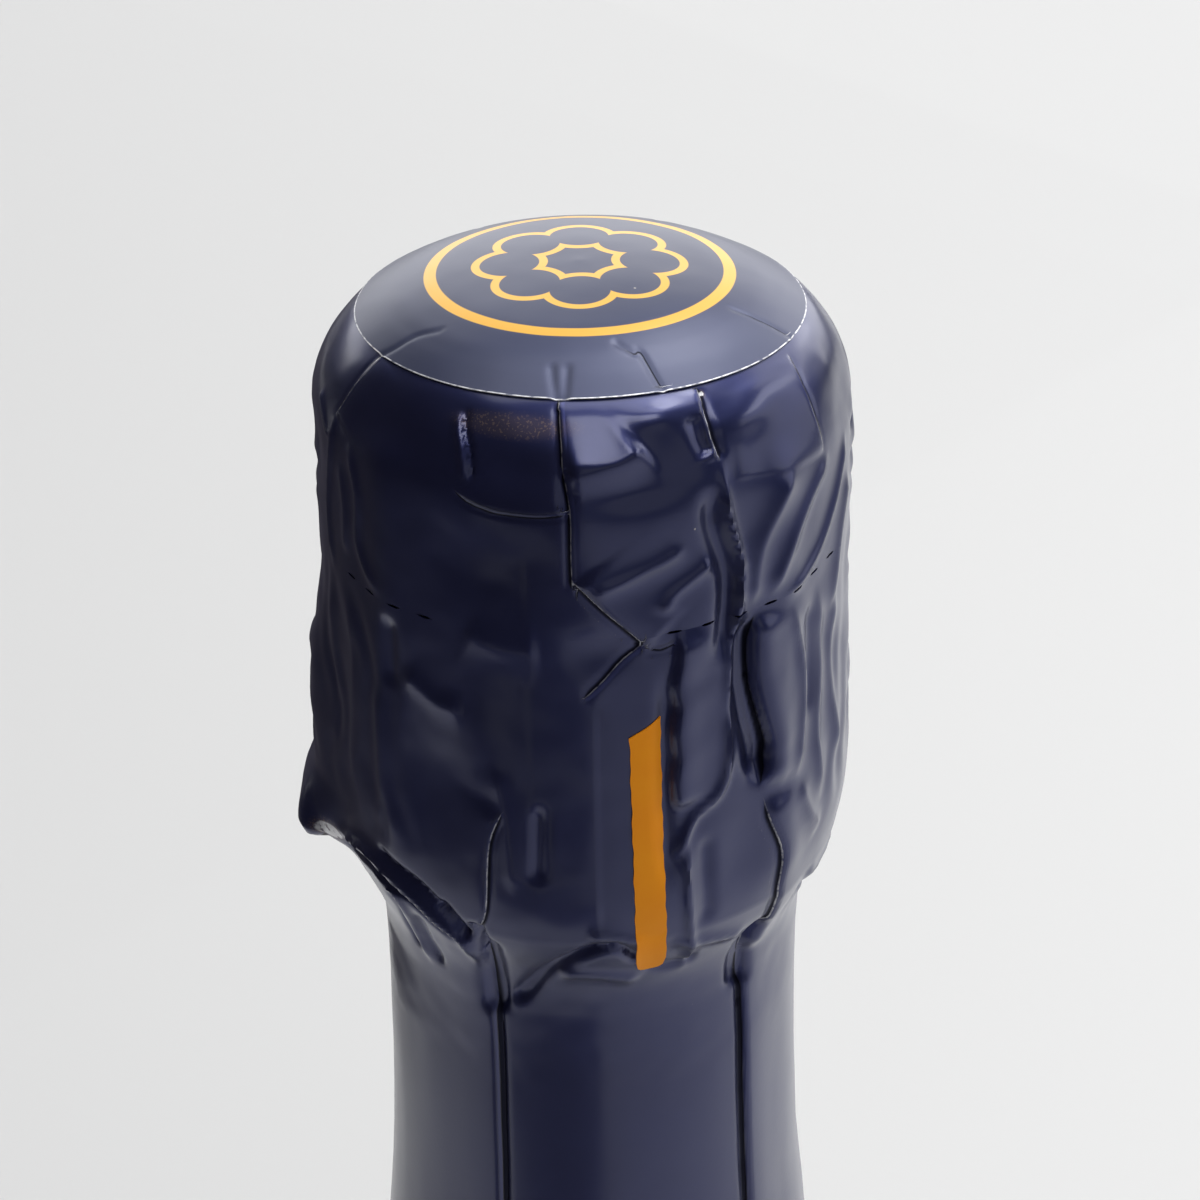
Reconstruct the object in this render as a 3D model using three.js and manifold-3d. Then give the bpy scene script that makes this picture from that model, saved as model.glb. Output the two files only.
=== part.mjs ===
// Sealed champagne bottle: glass, wine, cork, wire cage and foil capsule, each piece a solid of its own.
// Millimetres, +Z up. The origin is the centre of the base, on the surface that the bottle stands on.
// Angles run round the bottle in degrees from the front (-Y), positive towards +X.

import * as THREE from 'three';
import { mergeVertices } from 'three/addons/utils/BufferGeometryUtils.js';
import Module from 'manifold-3d';

// Clearances between neighbouring pieces
const SEAT = 0.3; // pieces that rest on one another or pass through one another
const WRAP = 0.3; // foil over what it wraps
const LAP = 0.12; // top disc over the turned-in edge of the hood
const GLUE = 0.1; // glue line between the sections of the cork
const TEAR_GAP = 0.3; // perforated tear line between hood and skirt

// Glass body, shoulder and neck
const GLASS_HEIGHT = 300;
const BODY_RADIUS = 44.2;
const BODY_TOP = 115; // height where the cylinder turns into the shoulder
const BODY_WALL = 4.5;
const HEEL_HEIGHT = 12;
const HEEL_INSET = 8.5; // from the body's side in to the bearing ring
const BEARING_WIDTH = 3.6; // flat ring that the bottle stands on
const PUNT_DEPTH = 34;
const PUNT_FOOT_SHARE = 0.8; // of the punt's radius, where its wall has left the ring
const PUNT_TOP_SHARE = 0.4; // of the punt's radius, how far its top stays flat
const BASE_WALL = 8;
const SHOULDER_PULL = 45; // how long the shoulder keeps the body's direction
const NECK_PULL = 66; // how long it keeps the neck's direction
const NECK_RADIUS = 13.9;
const NECK_FLARE = 1.1;
const NECK_WALL = 4.3;
const NECK_DROP = 38; // from the mouth down to where the neck is straight

// Finish of the neck, measured down from the mouth
const BORE_RADIUS = 8.9;
const BORE_DEPTH = 28;
const LIP_ROUND = 1.2;
const CROWN_RADIUS = 14.3;
const CROWN_HEIGHT = 5.6;
const GROOVE_RADIUS = 13;
const COLLAR_DROP = 9.5;
const COLLAR_HEIGHT = 9;
const COLLAR_RADIUS = 15;
const COLLAR_ROUND = 1.2;
const WIRE_GROOVE_HEIGHT = 5;
const FILL_DROP = 66; // from the mouth down to the wine

// Cork
const CORK_HEAD_RADIUS = 14.5;
const CORK_HEAD_HEIGHT = 14.9;
const CORK_STEM_LENGTH = 24.5;
const CORK_DISC_HEIGHT = 6;
const CORK_FOOT_ROUND = 2.4;

// Metal plaque on the cork
const PLAQUE_RADIUS = 11.6;
const PLAQUE_RIM_RADIUS = 13;
const PLAQUE_HEIGHT = 5.6;
const PLAQUE_CROWN = 1.4;
const CROWN_EDGE_SHARE = 0.7; // of the crown, how far its edge keeps one slope
const CROWN_TOP_SHARE = 0.4; // of the crown's radius, how far its top stays flat
const PLAQUE_EDGE = 1.7;
const PLAQUE_SHEET = 0.3;

// Wire cage
const CAGE_WIRE = 0.8;
const BELT_WIRE = 1;
const STRAND_SPREAD = 1.05; // strand's distance from the axis of a twisted pair, in wire radii
const LEG_ANGLES = [-135, -45, 45, 135];
const LEG_TURNS = 4;
const LEG_FALL = 5.9; // height of the bend over the edge of the cork
const LEG_SLOPE = 0.55; // fall of that bend for each millimetre of radius, at its top
const EYE_PLAY = 0.25;
const LOOP_ANGLE = -90;
const LOOP_TURNS = 1.75;
const LOOP_WIDTH = 9;
const LOOP_LENGTH = 11;
const KNUCKLE_REACH = 2.9; // how far the twist stands out from the belt before it turns up
const KNUCKLE_RISE = 6.5; // height over which the twist lies back against the collar
const KNUCKLE_FOOT_SHARE = 0.7; // of that reach, where the twist starts to turn up
const TWIST_SHARE = 0.3; // of the loop's wire, in each strand of the twist

// Foil capsule
const FOIL = 0.3;
const DISC_RADIUS = 13.95;
const TURN_IN = 1.8; // hood's edge under the disc
const TEAR_RISE = 3.3; // perforated line above the mouth
const FOIL_LENGTH = 110;
const CRIMP_HEIGHT = 7.2;
const LEG_RIDGE = 0.35;
const RIDGE_HALF_ANGLE = 15;
const LEFT_PLEATS = [-26, 140, 230]; // edges of the pleats whose raised layer lies on the left
const RIGHT_PLEATS = [50];
const PLEAT_STEP = 0.4;
const PLEAT_SPAN = 44;
const BULGE_FLAT_ANGLE = 9; // foil pushed out over the twisted loop
const BULGE_FALL_ANGLE = 18;
const BULGE_FLAT = 1.6;
const BULGE_FALL = 3.4;

// Tear strip
const STRIP_ANGLE = 11.5;
const STRIP_DROP = 6.5; // from the tear line down to the top of the strip
const STRIP_LENGTH = 19;
const STRIP_WIDTH = 2;
const STRIP_SHEET = 0.25;
const STRIP_SLANT = 1.2; // how much lower its top is on the left

// Facets
const GLASS_SEGMENTS = 36;
const CORK_SEGMENTS = 24;
const FOIL_SEGMENTS = 40;
const WIRE_SIDES = 5;
const LEG_STEPS = 22;
const EYE_STEPS = 10;
const LOOP_STEPS = 54;
const PUNT_STEPS = 5;
const HEEL_STEPS = 4;
const INNER_HEEL_STEPS = 3;
const SHOULDER_STEPS = 10;
const CAVITY_STEPS = 8;
const LEG_BEND_STEPS = 5;
const CROWN_STEPS = 4;
const CRIMP_STEPS = 4;
const STRIP_END_STEPS = 4;
const FOIL_ROW = 4.8;
const NECK_ROW = 16;

// Radii and heights that follow from the sizes above
const mouth = GLASS_HEIGHT;
const stemRadius = BORE_RADIUS - SEAT;
const collarBottom = mouth - COLLAR_DROP - COLLAR_HEIGHT;
const neckFoot = mouth - NECK_DROP;
const bearingOuter = BODY_RADIUS - HEEL_INSET;
const puntRadius = bearingOuter - BEARING_WIDTH;

const legHalf = (CAGE_WIRE / 2) * (1 + STRAND_SPREAD);
const twistHalf = (BELT_WIRE / 2) * (1 + STRAND_SPREAD);
const eyeRadius = (BELT_WIRE + CAGE_WIRE) / 2 + EYE_PLAY;
const eyeReach = eyeRadius + CAGE_WIRE / 2;
const legTopRadius = CORK_HEAD_RADIUS + SEAT + legHalf;
const legFootRadius = COLLAR_RADIUS + SEAT + legHalf;
const beltRadius = legFootRadius - eyeRadius;
const beltHeight = collarBottom - SEAT - eyeReach;
const wireGrooveRadius = beltRadius - eyeReach - SEAT;
const wireGrooveBottom = collarBottom - WIRE_GROOVE_HEIGHT;
const twistRadius = COLLAR_RADIUS + SEAT + twistHalf;

const corkSeat = mouth + SEAT;
const plaqueSeat = corkSeat + CORK_HEAD_HEIGHT;
const plaqueRimTop = plaqueSeat + SEAT + PLAQUE_SHEET;
const plaqueTop = plaqueRimTop + PLAQUE_HEIGHT;
const ringRadius = PLAQUE_RADIUS + SEAT + CAGE_WIRE / 2;
const ringHeight = plaqueRimTop + SEAT + CAGE_WIRE / 2;
const legTop = plaqueRimTop + SEAT + legHalf;
const legShoulder = legTop - LEG_FALL;

const legToFoil = legHalf + WRAP + FOIL;
const foilTop = plaqueTop + WRAP + FOIL;
const foilEnd = foilTop - FOIL_LENGTH;
const foilTopRadius = legTopRadius + legToFoil;
const foilFootRadius = legFootRadius + legToFoil;
const foilNeckRadius = NECK_RADIUS + WRAP + FOIL;
const crimpBottom = beltHeight - CRIMP_HEIGHT;
const tearHeight = mouth + TEAR_RISE;

const radians = THREE.MathUtils.degToRad;

function at(radius, height) {
  return new THREE.Vector2(radius, height);
}

function bend(start, startPull, endPull, end, steps) {
  return new THREE.CubicBezierCurve(start, startPull, endPull, end).getPoints(steps);
}

// A point on the bottle, by radius, height, angle and a distance along the circumference.
function around(radius, height, degrees, sideways = 0) {
  const angle = radians(degrees) + sideways / radius;
  return new THREE.Vector3(radius * Math.sin(angle), -radius * Math.cos(angle), height);
}

// The line moved to the right of its direction. An end on the axis stays on the axis.
function offsetLine(line, distance) {
  const edges = line.slice(1).map((p, i) => p.clone().sub(line[i]).normalize());
  return line.map((p, i) => {
    const before = edges[Math.max(i - 1, 0)];
    const after = edges[Math.min(i, edges.length - 1)];
    const along = before.clone().add(after).normalize();
    const miter = distance / along.dot(after);
    if (p.x === 0) {
      return at(0, p.y - Math.sign(along.x) * distance);
    }
    return at(p.x + along.y * miter, p.y - along.x * miter);
  });
}

// The part of a line above or below a level of x or y, with a new point where it crosses.
function cutLine(line, axis, level, side) {
  const inside = (p) => (p[axis] - level) * side >= 0;
  const kept = [];
  line.forEach((p, i) => {
    const last = line[i - 1];
    if (last && inside(last) !== inside(p)) {
      kept.push(last.clone().lerp(p, (level - last[axis]) / (p[axis] - last[axis])));
    }
    if (inside(p)) {
      kept.push(p);
    }
  });
  return kept;
}

// The line with its long edges divided into equal steps.
function divideLine(line, longest) {
  return line.flatMap((p, i) => {
    const next = line[i + 1];
    if (!next) {
      return [p];
    }
    const count = Math.max(1, Math.ceil(p.distanceTo(next) / longest));
    return Array.from({ length: count }, (_, k) => p.clone().lerp(next, k / count));
  });
}

// A solid of revolution. Its profile runs up the outside and down the inside.
function revolve(profile, segments) {
  const geometry = new THREE.LatheGeometry(profile, segments);
  geometry.rotateX(Math.PI / 2);
  return geometry;
}

// The profile of a thin sheet whose outer face is a line that runs upwards.
function sheetProfile(line, thickness) {
  const inner = offsetLine(line, -thickness).reverse();
  const endsOnAxis = line.at(-1).x === 0;
  return endsOnAxis ? [...inner, ...line] : [...inner, ...line, inner[0].clone()];
}

// A round wire along a path.
function wireGeometry(path, diameter, steps) {
  const section = new THREE.Shape();
  section.setFromPoints(
    Array.from({ length: WIRE_SIDES }, (_, k) => {
      const turn = (2 * Math.PI * k) / WIRE_SIDES;
      return at((diameter / 2) * Math.cos(turn), (diameter / 2) * Math.sin(turn));
    }),
  );
  return new THREE.ExtrudeGeometry(section, { steps, bevelEnabled: false, extrudePath: path });
}

function ringGeometry(radius, diameter, height, steps) {
  const geometry = new THREE.TorusGeometry(radius, diameter / 2, WIRE_SIDES, steps);
  geometry.translate(0, 0, height);
  return geometry;
}

const wasm = await Module();
wasm.setup();

// Joins overlapping closed geometries into one solid.
function join(geometries) {
  const solids = geometries.map((geometry) => {
    geometry.deleteAttribute('normal');
    geometry.deleteAttribute('uv');
    const welded = mergeVertices(geometry, 1e-4);
    const vertProperties = new Float32Array(welded.attributes.position.array);
    const triVerts = new Uint32Array(welded.index.array);
    return new wasm.Manifold(new wasm.Mesh({ numProp: 3, vertProperties, triVerts }));
  });
  const joined = solids.reduce((sum, solid) => sum.add(solid)).getMesh();
  const geometry = new THREE.BufferGeometry();
  geometry.setAttribute('position', new THREE.BufferAttribute(joined.vertProperties, 3));
  geometry.setIndex(new THREE.BufferAttribute(joined.triVerts, 1));
  geometry.computeVertexNormals();
  return geometry;
}

// 1 within a flat half width, 0 beyond the fall, and a smooth slope between.
function plateau(distance, flat, fall) {
  const share = THREE.MathUtils.clamp((Math.abs(distance) - flat) / fall, 0, 1);
  return 0.5 + 0.5 * Math.cos(Math.PI * share);
}

function angleBetween(a, b) {
  return THREE.MathUtils.euclideanModulo(a - b + 180, 360) - 180;
}

const bottle = new THREE.Group();
const closure = new THREE.Group();
const capsule = new THREE.Group();

function addPiece(group, name, geometry, finish) {
  const mesh = new THREE.Mesh(geometry, new THREE.MeshStandardMaterial(finish));
  mesh.name = name;
  group.add(mesh);
}

// Glass: punt, heel, straight body, long shoulder, neck, wire groove, collar and crown bead
function shoulderLine() {
  return bend(
    at(BODY_RADIUS, BODY_TOP),
    at(BODY_RADIUS, BODY_TOP + SHOULDER_PULL),
    at(NECK_RADIUS + NECK_FLARE, neckFoot - NECK_PULL),
    at(NECK_RADIUS, neckFoot),
    SHOULDER_STEPS,
  );
}

function finishLine() {
  const collarTop = mouth - COLLAR_DROP;
  const crownBottom = mouth - CROWN_HEIGHT;
  return [
    at(NECK_RADIUS, wireGrooveBottom - (NECK_RADIUS - wireGrooveRadius)),
    at(wireGrooveRadius, wireGrooveBottom),
    at(wireGrooveRadius, collarBottom),
    at(COLLAR_RADIUS - COLLAR_ROUND / 2, collarBottom),
    at(COLLAR_RADIUS, collarBottom + COLLAR_ROUND),
    at(COLLAR_RADIUS, collarTop - COLLAR_ROUND),
    at(COLLAR_RADIUS - COLLAR_ROUND, collarTop),
    at(GROOVE_RADIUS, collarTop),
    at(GROOVE_RADIUS, crownBottom),
    at(CROWN_RADIUS - LIP_ROUND / 2, crownBottom),
    at(CROWN_RADIUS, crownBottom + LIP_ROUND),
    at(CROWN_RADIUS, mouth - 2 * LIP_ROUND),
    at(CROWN_RADIUS - LIP_ROUND, mouth - LIP_ROUND / 2),
    at(CROWN_RADIUS - 2 * LIP_ROUND, mouth),
  ];
}

// Inside of the glass, from the mouth down to the axis on top of the punt
function cavityLine() {
  const bodyInner = BODY_RADIUS - BODY_WALL;
  const neckInner = NECK_RADIUS - NECK_WALL;
  const floor = BASE_WALL;
  const puntInner = puntRadius + BASE_WALL / 2;
  return [
    at(BORE_RADIUS + LIP_ROUND, mouth),
    at(BORE_RADIUS, mouth - LIP_ROUND),
    at(BORE_RADIUS, mouth - BORE_DEPTH),
    ...bend(
      at(neckInner, neckFoot),
      at(neckInner + NECK_FLARE, neckFoot - NECK_PULL),
      at(bodyInner, BODY_TOP + SHOULDER_PULL - BODY_WALL),
      at(bodyInner, BODY_TOP - BODY_WALL),
      CAVITY_STEPS,
    ),
    ...bend(
      at(bodyInner, floor + HEEL_HEIGHT),
      at(bodyInner, floor + HEEL_HEIGHT / 3),
      at(bodyInner - HEEL_INSET / 4, floor),
      at(puntInner, floor),
      INNER_HEEL_STEPS,
    ),
    ...bend(
      at(puntInner, floor),
      at(puntInner * PUNT_FOOT_SHARE, floor),
      at(puntInner * PUNT_TOP_SHARE, PUNT_DEPTH + BASE_WALL),
      at(0, PUNT_DEPTH + BASE_WALL),
      PUNT_STEPS,
    ).slice(1),
  ];
}

function glassProfile() {
  return [
    ...bend(
      at(0, PUNT_DEPTH),
      at(puntRadius * PUNT_TOP_SHARE, PUNT_DEPTH),
      at(puntRadius * PUNT_FOOT_SHARE, 0),
      at(puntRadius, 0),
      PUNT_STEPS,
    ),
    ...bend(
      at(bearingOuter, 0),
      at(BODY_RADIUS - HEEL_INSET / 3, 0),
      at(BODY_RADIUS, HEEL_HEIGHT / 3),
      at(BODY_RADIUS, HEEL_HEIGHT),
      HEEL_STEPS,
    ),
    ...shoulderLine(),
    ...finishLine(),
    ...cavityLine(),
  ];
}

addPiece(bottle, 'glass_bottle', revolve(glassProfile(), GLASS_SEGMENTS), {
  color: 0x1f2b16,
  roughness: 0.08,
  metalness: 0,
  transparent: true,
  opacity: 0.85,
});

// Wine: fills the cavity up to its level in the neck
function wineProfile() {
  const level = mouth - FILL_DROP;
  const side = cutLine(offsetLine(cavityLine(), SEAT), 'y', level, -1);
  return [...side.reverse(), at(0, level)];
}

addPiece(bottle, 'wine', revolve(wineProfile(), GLASS_SEGMENTS), {
  color: 0xd8b95e,
  roughness: 0.02,
  metalness: 0,
  transparent: true,
  opacity: 0.6,
});

// Bend of a cage leg over the edge of the cork, running upwards
function legBend() {
  const run = (legTopRadius - PLAQUE_RIM_RADIUS) / 2;
  return bend(
    at(legTopRadius, legShoulder),
    at(legTopRadius, legShoulder + LEG_FALL / 2),
    at(PLAQUE_RIM_RADIUS + run, legTop - run * LEG_SLOPE),
    at(PLAQUE_RIM_RADIUS, legTop),
    LEG_BEND_STEPS,
  );
}

function plaqueCrown() {
  const face = PLAQUE_RADIUS - PLAQUE_EDGE;
  const fall = plaqueTop - PLAQUE_CROWN;
  return bend(
    at(face, fall),
    at(face * CROWN_EDGE_SHARE, fall + PLAQUE_CROWN * CROWN_EDGE_SHARE),
    at(face * CROWN_TOP_SHARE, plaqueTop),
    at(0, plaqueTop),
    CROWN_STEPS,
  );
}

// Outer face of the plaque, from the rim up to the middle of its crown
function plaqueLine() {
  const edge = plaqueTop - PLAQUE_CROWN;
  return [
    at(PLAQUE_RIM_RADIUS, plaqueRimTop),
    at(PLAQUE_RADIUS + PLAQUE_SHEET, plaqueRimTop),
    at(PLAQUE_RADIUS, plaqueRimTop + PLAQUE_SHEET),
    at(PLAQUE_RADIUS, edge - PLAQUE_EDGE),
    at(PLAQUE_RADIUS - PLAQUE_EDGE / 3, edge - PLAQUE_EDGE / 3),
    ...plaqueCrown(),
  ];
}

// Cork: head pressed to the plaque's shape, stem in the bore and two discs of natural cork under it
const stemBottom = mouth - CORK_STEM_LENGTH;
const upperDiscBottom = stemBottom + CORK_DISC_HEIGHT + GLUE;
const corkBodyBottom = upperDiscBottom + CORK_DISC_HEIGHT + GLUE;

function corkProfile() {
  const headSide = cutLine(offsetLine(legBend(), -legHalf - SEAT), 'y', plaqueSeat, -1);
  return [
    at(0, corkBodyBottom),
    at(stemRadius, corkBodyBottom),
    at(stemRadius, corkSeat),
    at(CORK_HEAD_RADIUS - CORK_FOOT_ROUND, corkSeat),
    at(CORK_HEAD_RADIUS - CORK_FOOT_ROUND / 3, corkSeat + CORK_FOOT_ROUND / 3),
    at(CORK_HEAD_RADIUS, corkSeat + CORK_FOOT_ROUND),
    ...headSide,
    ...offsetLine(plaqueLine(), -PLAQUE_SHEET - SEAT),
  ];
}

function corkDiscProfile(bottom) {
  const top = bottom + CORK_DISC_HEIGHT;
  return [at(0, bottom), at(stemRadius, bottom), at(stemRadius, top), at(0, top)];
}

addPiece(closure, 'cork_body', revolve(corkProfile(), CORK_SEGMENTS), {
  color: 0xb98c5c,
  roughness: 0.9,
  metalness: 0,
});
addPiece(closure, 'cork_disc_upper', revolve(corkDiscProfile(upperDiscBottom), CORK_SEGMENTS), {
  color: 0xc69a66,
  roughness: 0.9,
  metalness: 0,
});
addPiece(closure, 'cork_disc_lower', revolve(corkDiscProfile(stemBottom), CORK_SEGMENTS), {
  color: 0xc99f6d,
  roughness: 0.9,
  metalness: 0,
});
addPiece(closure, 'cage_plaque', revolve(sheetProfile(plaqueLine(), PLAQUE_SHEET), CORK_SEGMENTS), {
  color: 0xe0a12a,
  roughness: 0.35,
  metalness: 0.8,
});

// One strand of a twisted pair along a line at the front of the bottle. The pair starts side by side.
class TwistedStrand extends THREE.Curve {
  constructor(line, spread, phase, turns) {
    super();
    Object.assign(this, { line, spread, phase, turns });
  }

  getPoint(t) {
    const p = this.line.getPointAt(t);
    const along = this.line.getTangentAt(t);
    const turn = this.phase + 2 * Math.PI * this.turns * t;
    const out = this.spread * Math.sin(turn);
    const sideways = this.spread * Math.cos(turn);
    return around(p.x - along.y * out, p.y + along.x * out, 0, sideways);
  }
}

// Leg of the cage, made at the front: a twisted pair that bends over the cork and ends in an eye on the belt
function cageLeg() {
  const line = new THREE.CurvePath();
  const over = legBend().reverse();
  const points = [at(ringRadius, ringHeight), ...over, at(legFootRadius, beltHeight)];
  points.slice(1).forEach((p, i) => line.add(new THREE.LineCurve(points[i], p)));
  const spread = (CAGE_WIRE / 2) * STRAND_SPREAD;
  const strands = [0, Math.PI].map((phase) => {
    const path = new TwistedStrand(line, spread, phase, LEG_TURNS);
    return wireGeometry(path, CAGE_WIRE, LEG_STEPS);
  });
  const eye = new THREE.TorusGeometry(eyeRadius, CAGE_WIRE / 2, WIRE_SIDES, EYE_STEPS);
  eye.rotateX(Math.PI / 2);
  eye.translate(beltRadius, 0, beltHeight);
  eye.rotateZ(-Math.PI / 2);
  return [...strands, eye];
}

// Cage frame: a ring round the plaque and four legs
const cageRing = ringGeometry(ringRadius, CAGE_WIRE, ringHeight, CORK_SEGMENTS);
const cageLegs = LEG_ANGLES.flatMap((degrees) => cageLeg().map((wire) => wire.rotateZ(radians(degrees))));
addPiece(closure, 'cage_frame', join([cageRing, ...cageLegs]), {
  color: 0xb9bcc0,
  roughness: 0.35,
  metalness: 1,
});

// Belt of the cage with its twisted loop, one wire: up the twist, round the loop and down the twist
class BeltLoop extends THREE.Curve {
  constructor() {
    super();
    this.twist = new THREE.SplineCurve([
      at(beltRadius, beltHeight),
      at(beltRadius + KNUCKLE_REACH * KNUCKLE_FOOT_SHARE, beltHeight - BELT_WIRE / 4),
      at(beltRadius + KNUCKLE_REACH, beltHeight + BELT_WIRE / 2),
      at((beltRadius + KNUCKLE_REACH + twistRadius) / 2, beltHeight + KNUCKLE_RISE / 2),
      at(twistRadius, beltHeight + KNUCKLE_RISE),
    ]);
    this.spread = (BELT_WIRE / 2) * STRAND_SPREAD;
  }

  strandPoint(share, phase) {
    const p = this.twist.getPointAt(share);
    const along = this.twist.getTangentAt(share);
    const turn = phase + 2 * Math.PI * LOOP_TURNS * share;
    const out = this.spread * Math.cos(turn);
    const sideways = this.spread * Math.sin(turn);
    return around(p.x + along.y * out, p.y - along.x * out, LOOP_ANGLE, sideways);
  }

  getPoint(t) {
    if (t < TWIST_SHARE) {
      return this.strandPoint(t / TWIST_SHARE, 0);
    }
    if (t > 1 - TWIST_SHARE) {
      return this.strandPoint((1 - t) / TWIST_SHARE, Math.PI);
    }
    const turn = (2 * Math.PI * (t - TWIST_SHARE)) / (1 - 2 * TWIST_SHARE);
    const sideways = -this.spread * Math.cos(turn / 2) - (LOOP_WIDTH / 2) * Math.sin(turn);
    const rise = (LOOP_LENGTH / 2) * (1 - Math.cos(turn));
    return around(twistRadius, beltHeight + KNUCKLE_RISE + rise, LOOP_ANGLE, sideways);
  }
}

const beltRing = ringGeometry(beltRadius, BELT_WIRE, beltHeight, FOIL_SEGMENTS);
const beltLoop = wireGeometry(new BeltLoop(), BELT_WIRE, LOOP_STEPS);
addPiece(closure, 'cage_belt', join([beltRing, beltLoop]), {
  color: 0xb4b7bb,
  roughness: 0.35,
  metalness: 1,
});

// Outer face of the foil's hood: up the cage's legs, over the bend and across the plaque to the axis
function hoodLine() {
  const legs = [at(legFootRadius, beltHeight), ...legBend()];
  return [...offsetLine(legs, legToFoil), ...offsetLine(plaqueCrown(), WRAP - LAP)];
}

// Outer face of the foil's skirt: along the glass, then out over the belt and up to the tear line
function skirtLine() {
  const shoulder = cutLine(offsetLine(shoulderLine(), WRAP + FOIL), 'y', foilEnd, 1);
  const crimp = bend(
    at(foilNeckRadius, crimpBottom),
    at(foilNeckRadius, crimpBottom + CRIMP_HEIGHT / 2),
    at(foilFootRadius, beltHeight - CRIMP_HEIGHT / 3),
    at(foilFootRadius, beltHeight),
    CRIMP_STEPS,
  );
  const side = divideLine([at(foilFootRadius, beltHeight), at(foilTopRadius, legShoulder)], FOIL_ROW);
  const whole = [...divideLine(shoulder, NECK_ROW), ...crimp, ...side.slice(1)];
  return cutLine(whole, 'y', tearHeight - TEAR_GAP / 2, -1);
}

// How far the foil stands out over the legs, over the twisted loop and at its pleats
function foilPush(degrees, height) {
  const onHead = plateau(height - (beltHeight + legShoulder) / 2, (legShoulder - beltHeight) / 2, BULGE_FALL);
  const ridges = LEG_ANGLES.map((leg) => plateau(angleBetween(degrees, leg), 0, RIDGE_HALF_ANGLE));
  const ridge = LEG_RIDGE * Math.max(...ridges) * onHead;

  const overTwist = plateau(angleBetween(degrees, LOOP_ANGLE), BULGE_FLAT_ANGLE, BULGE_FALL_ANGLE);
  const knuckleReach = beltRadius + KNUCKLE_REACH + twistHalf + WRAP + FOIL - foilFootRadius;
  const knuckle = knuckleReach * plateau(height - beltHeight, BULGE_FLAT, BULGE_FALL);
  const loopMiddle = beltHeight + (KNUCKLE_RISE + LOOP_LENGTH) / 2;
  const loopHalf = (KNUCKLE_RISE + LOOP_LENGTH) / 2;
  const loopReach = twistRadius + twistHalf + WRAP + FOIL - foilTopRadius;
  const loop = loopReach * plateau(height - loopMiddle, loopHalf - BULGE_FALL, BULGE_FALL);
  const bulge = Math.max(knuckle, loop) * overTwist;

  const onNeck = 1 - plateau(Math.max(beltHeight - height, 0), 0, CRIMP_HEIGHT);
  const fromEdges = [
    ...LEFT_PLEATS.map((edge) => THREE.MathUtils.euclideanModulo(edge - degrees, 360)),
    ...RIGHT_PLEATS.map((edge) => THREE.MathUtils.euclideanModulo(degrees - edge, 360)),
  ];
  const pleat = PLEAT_STEP * Math.max(0, 1 - Math.min(...fromEdges) / PLEAT_SPAN) * onNeck;
  return Math.max(ridge, bulge) + pleat;
}

function pushFoil(geometry) {
  const position = geometry.attributes.position;
  const p = new THREE.Vector3();
  for (let i = 0; i < position.count; i += 1) {
    p.fromBufferAttribute(position, i);
    const degrees = THREE.MathUtils.radToDeg(Math.atan2(p.x, -p.y));
    const radius = Math.hypot(p.x, p.y);
    const moved = radius + foilPush(degrees, p.z);
    position.setXYZ(i, (p.x / radius) * moved, (p.y / radius) * moved, p.z);
  }
  geometry.computeVertexNormals();
  return geometry;
}

const navyFoil = { color: 0x2b2f4e, roughness: 0.4, metalness: 0.6 };

const discLine = cutLine(offsetLine(hoodLine(), LAP + FOIL), 'x', DISC_RADIUS, -1);
addPiece(capsule, 'foil_top_disc', revolve(sheetProfile(discLine, FOIL), FOIL_SEGMENTS), navyFoil);

const aboveTear = cutLine(hoodLine(), 'y', tearHeight + TEAR_GAP / 2, 1);
const hoodWall = cutLine(aboveTear, 'x', DISC_RADIUS - TURN_IN, 1);
const hood = revolve(sheetProfile(hoodWall, FOIL), FOIL_SEGMENTS);
addPiece(capsule, 'foil_hood', pushFoil(hood), navyFoil);

const skirt = revolve(sheetProfile(skirtLine(), FOIL), FOIL_SEGMENTS);
addPiece(capsule, 'foil_skirt', pushFoil(skirt), navyFoil);

// Tear strip: a flat tab with a slanted top and a round end, lying on the skirt
function stripGeometry() {
  const half = STRIP_WIDTH / 2;
  const outline = new THREE.Shape();
  outline.moveTo(half, 0);
  outline.lineTo(-half, -STRIP_SLANT);
  outline.lineTo(-half, -STRIP_LENGTH + half);
  outline.absarc(0, -STRIP_LENGTH + half, half, Math.PI, 2 * Math.PI, false);
  const geometry = new THREE.ExtrudeGeometry(outline, {
    depth: STRIP_SHEET,
    bevelEnabled: false,
    curveSegments: STRIP_END_STEPS,
  });
  const lean = (foilFootRadius - foilTopRadius) / (legShoulder - beltHeight);
  const top = tearHeight - STRIP_DROP;
  const skirtRadius = foilFootRadius - lean * (top - beltHeight);
  geometry.rotateX(Math.PI / 2 - Math.atan(lean));
  geometry.translate(0, -skirtRadius - SEAT, top);
  geometry.rotateZ(radians(STRIP_ANGLE));
  return geometry;
}

addPiece(capsule, 'tear_strip', stripGeometry(), { color: 0xcf8420, roughness: 0.45, metalness: 0 });

const champagneBottle = new THREE.Group();
champagneBottle.add(bottle, closure, capsule);

export default champagneBottle;
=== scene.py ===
# %% [markdown]
# # A sealed champagne bottle
#
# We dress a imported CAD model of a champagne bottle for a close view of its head. The CAD solids stay where
# they are and carry the motion. Each cell below makes one piece or one finish and puts it on a CAD body.
# The foil head fills the picture, so most of the lesson is about thin metal foil: how it is spun, creased,
# lapped, perforated and rubbed.

import math

import bpy
import numpy as np
from mathutils import Matrix, Vector, noise


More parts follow.
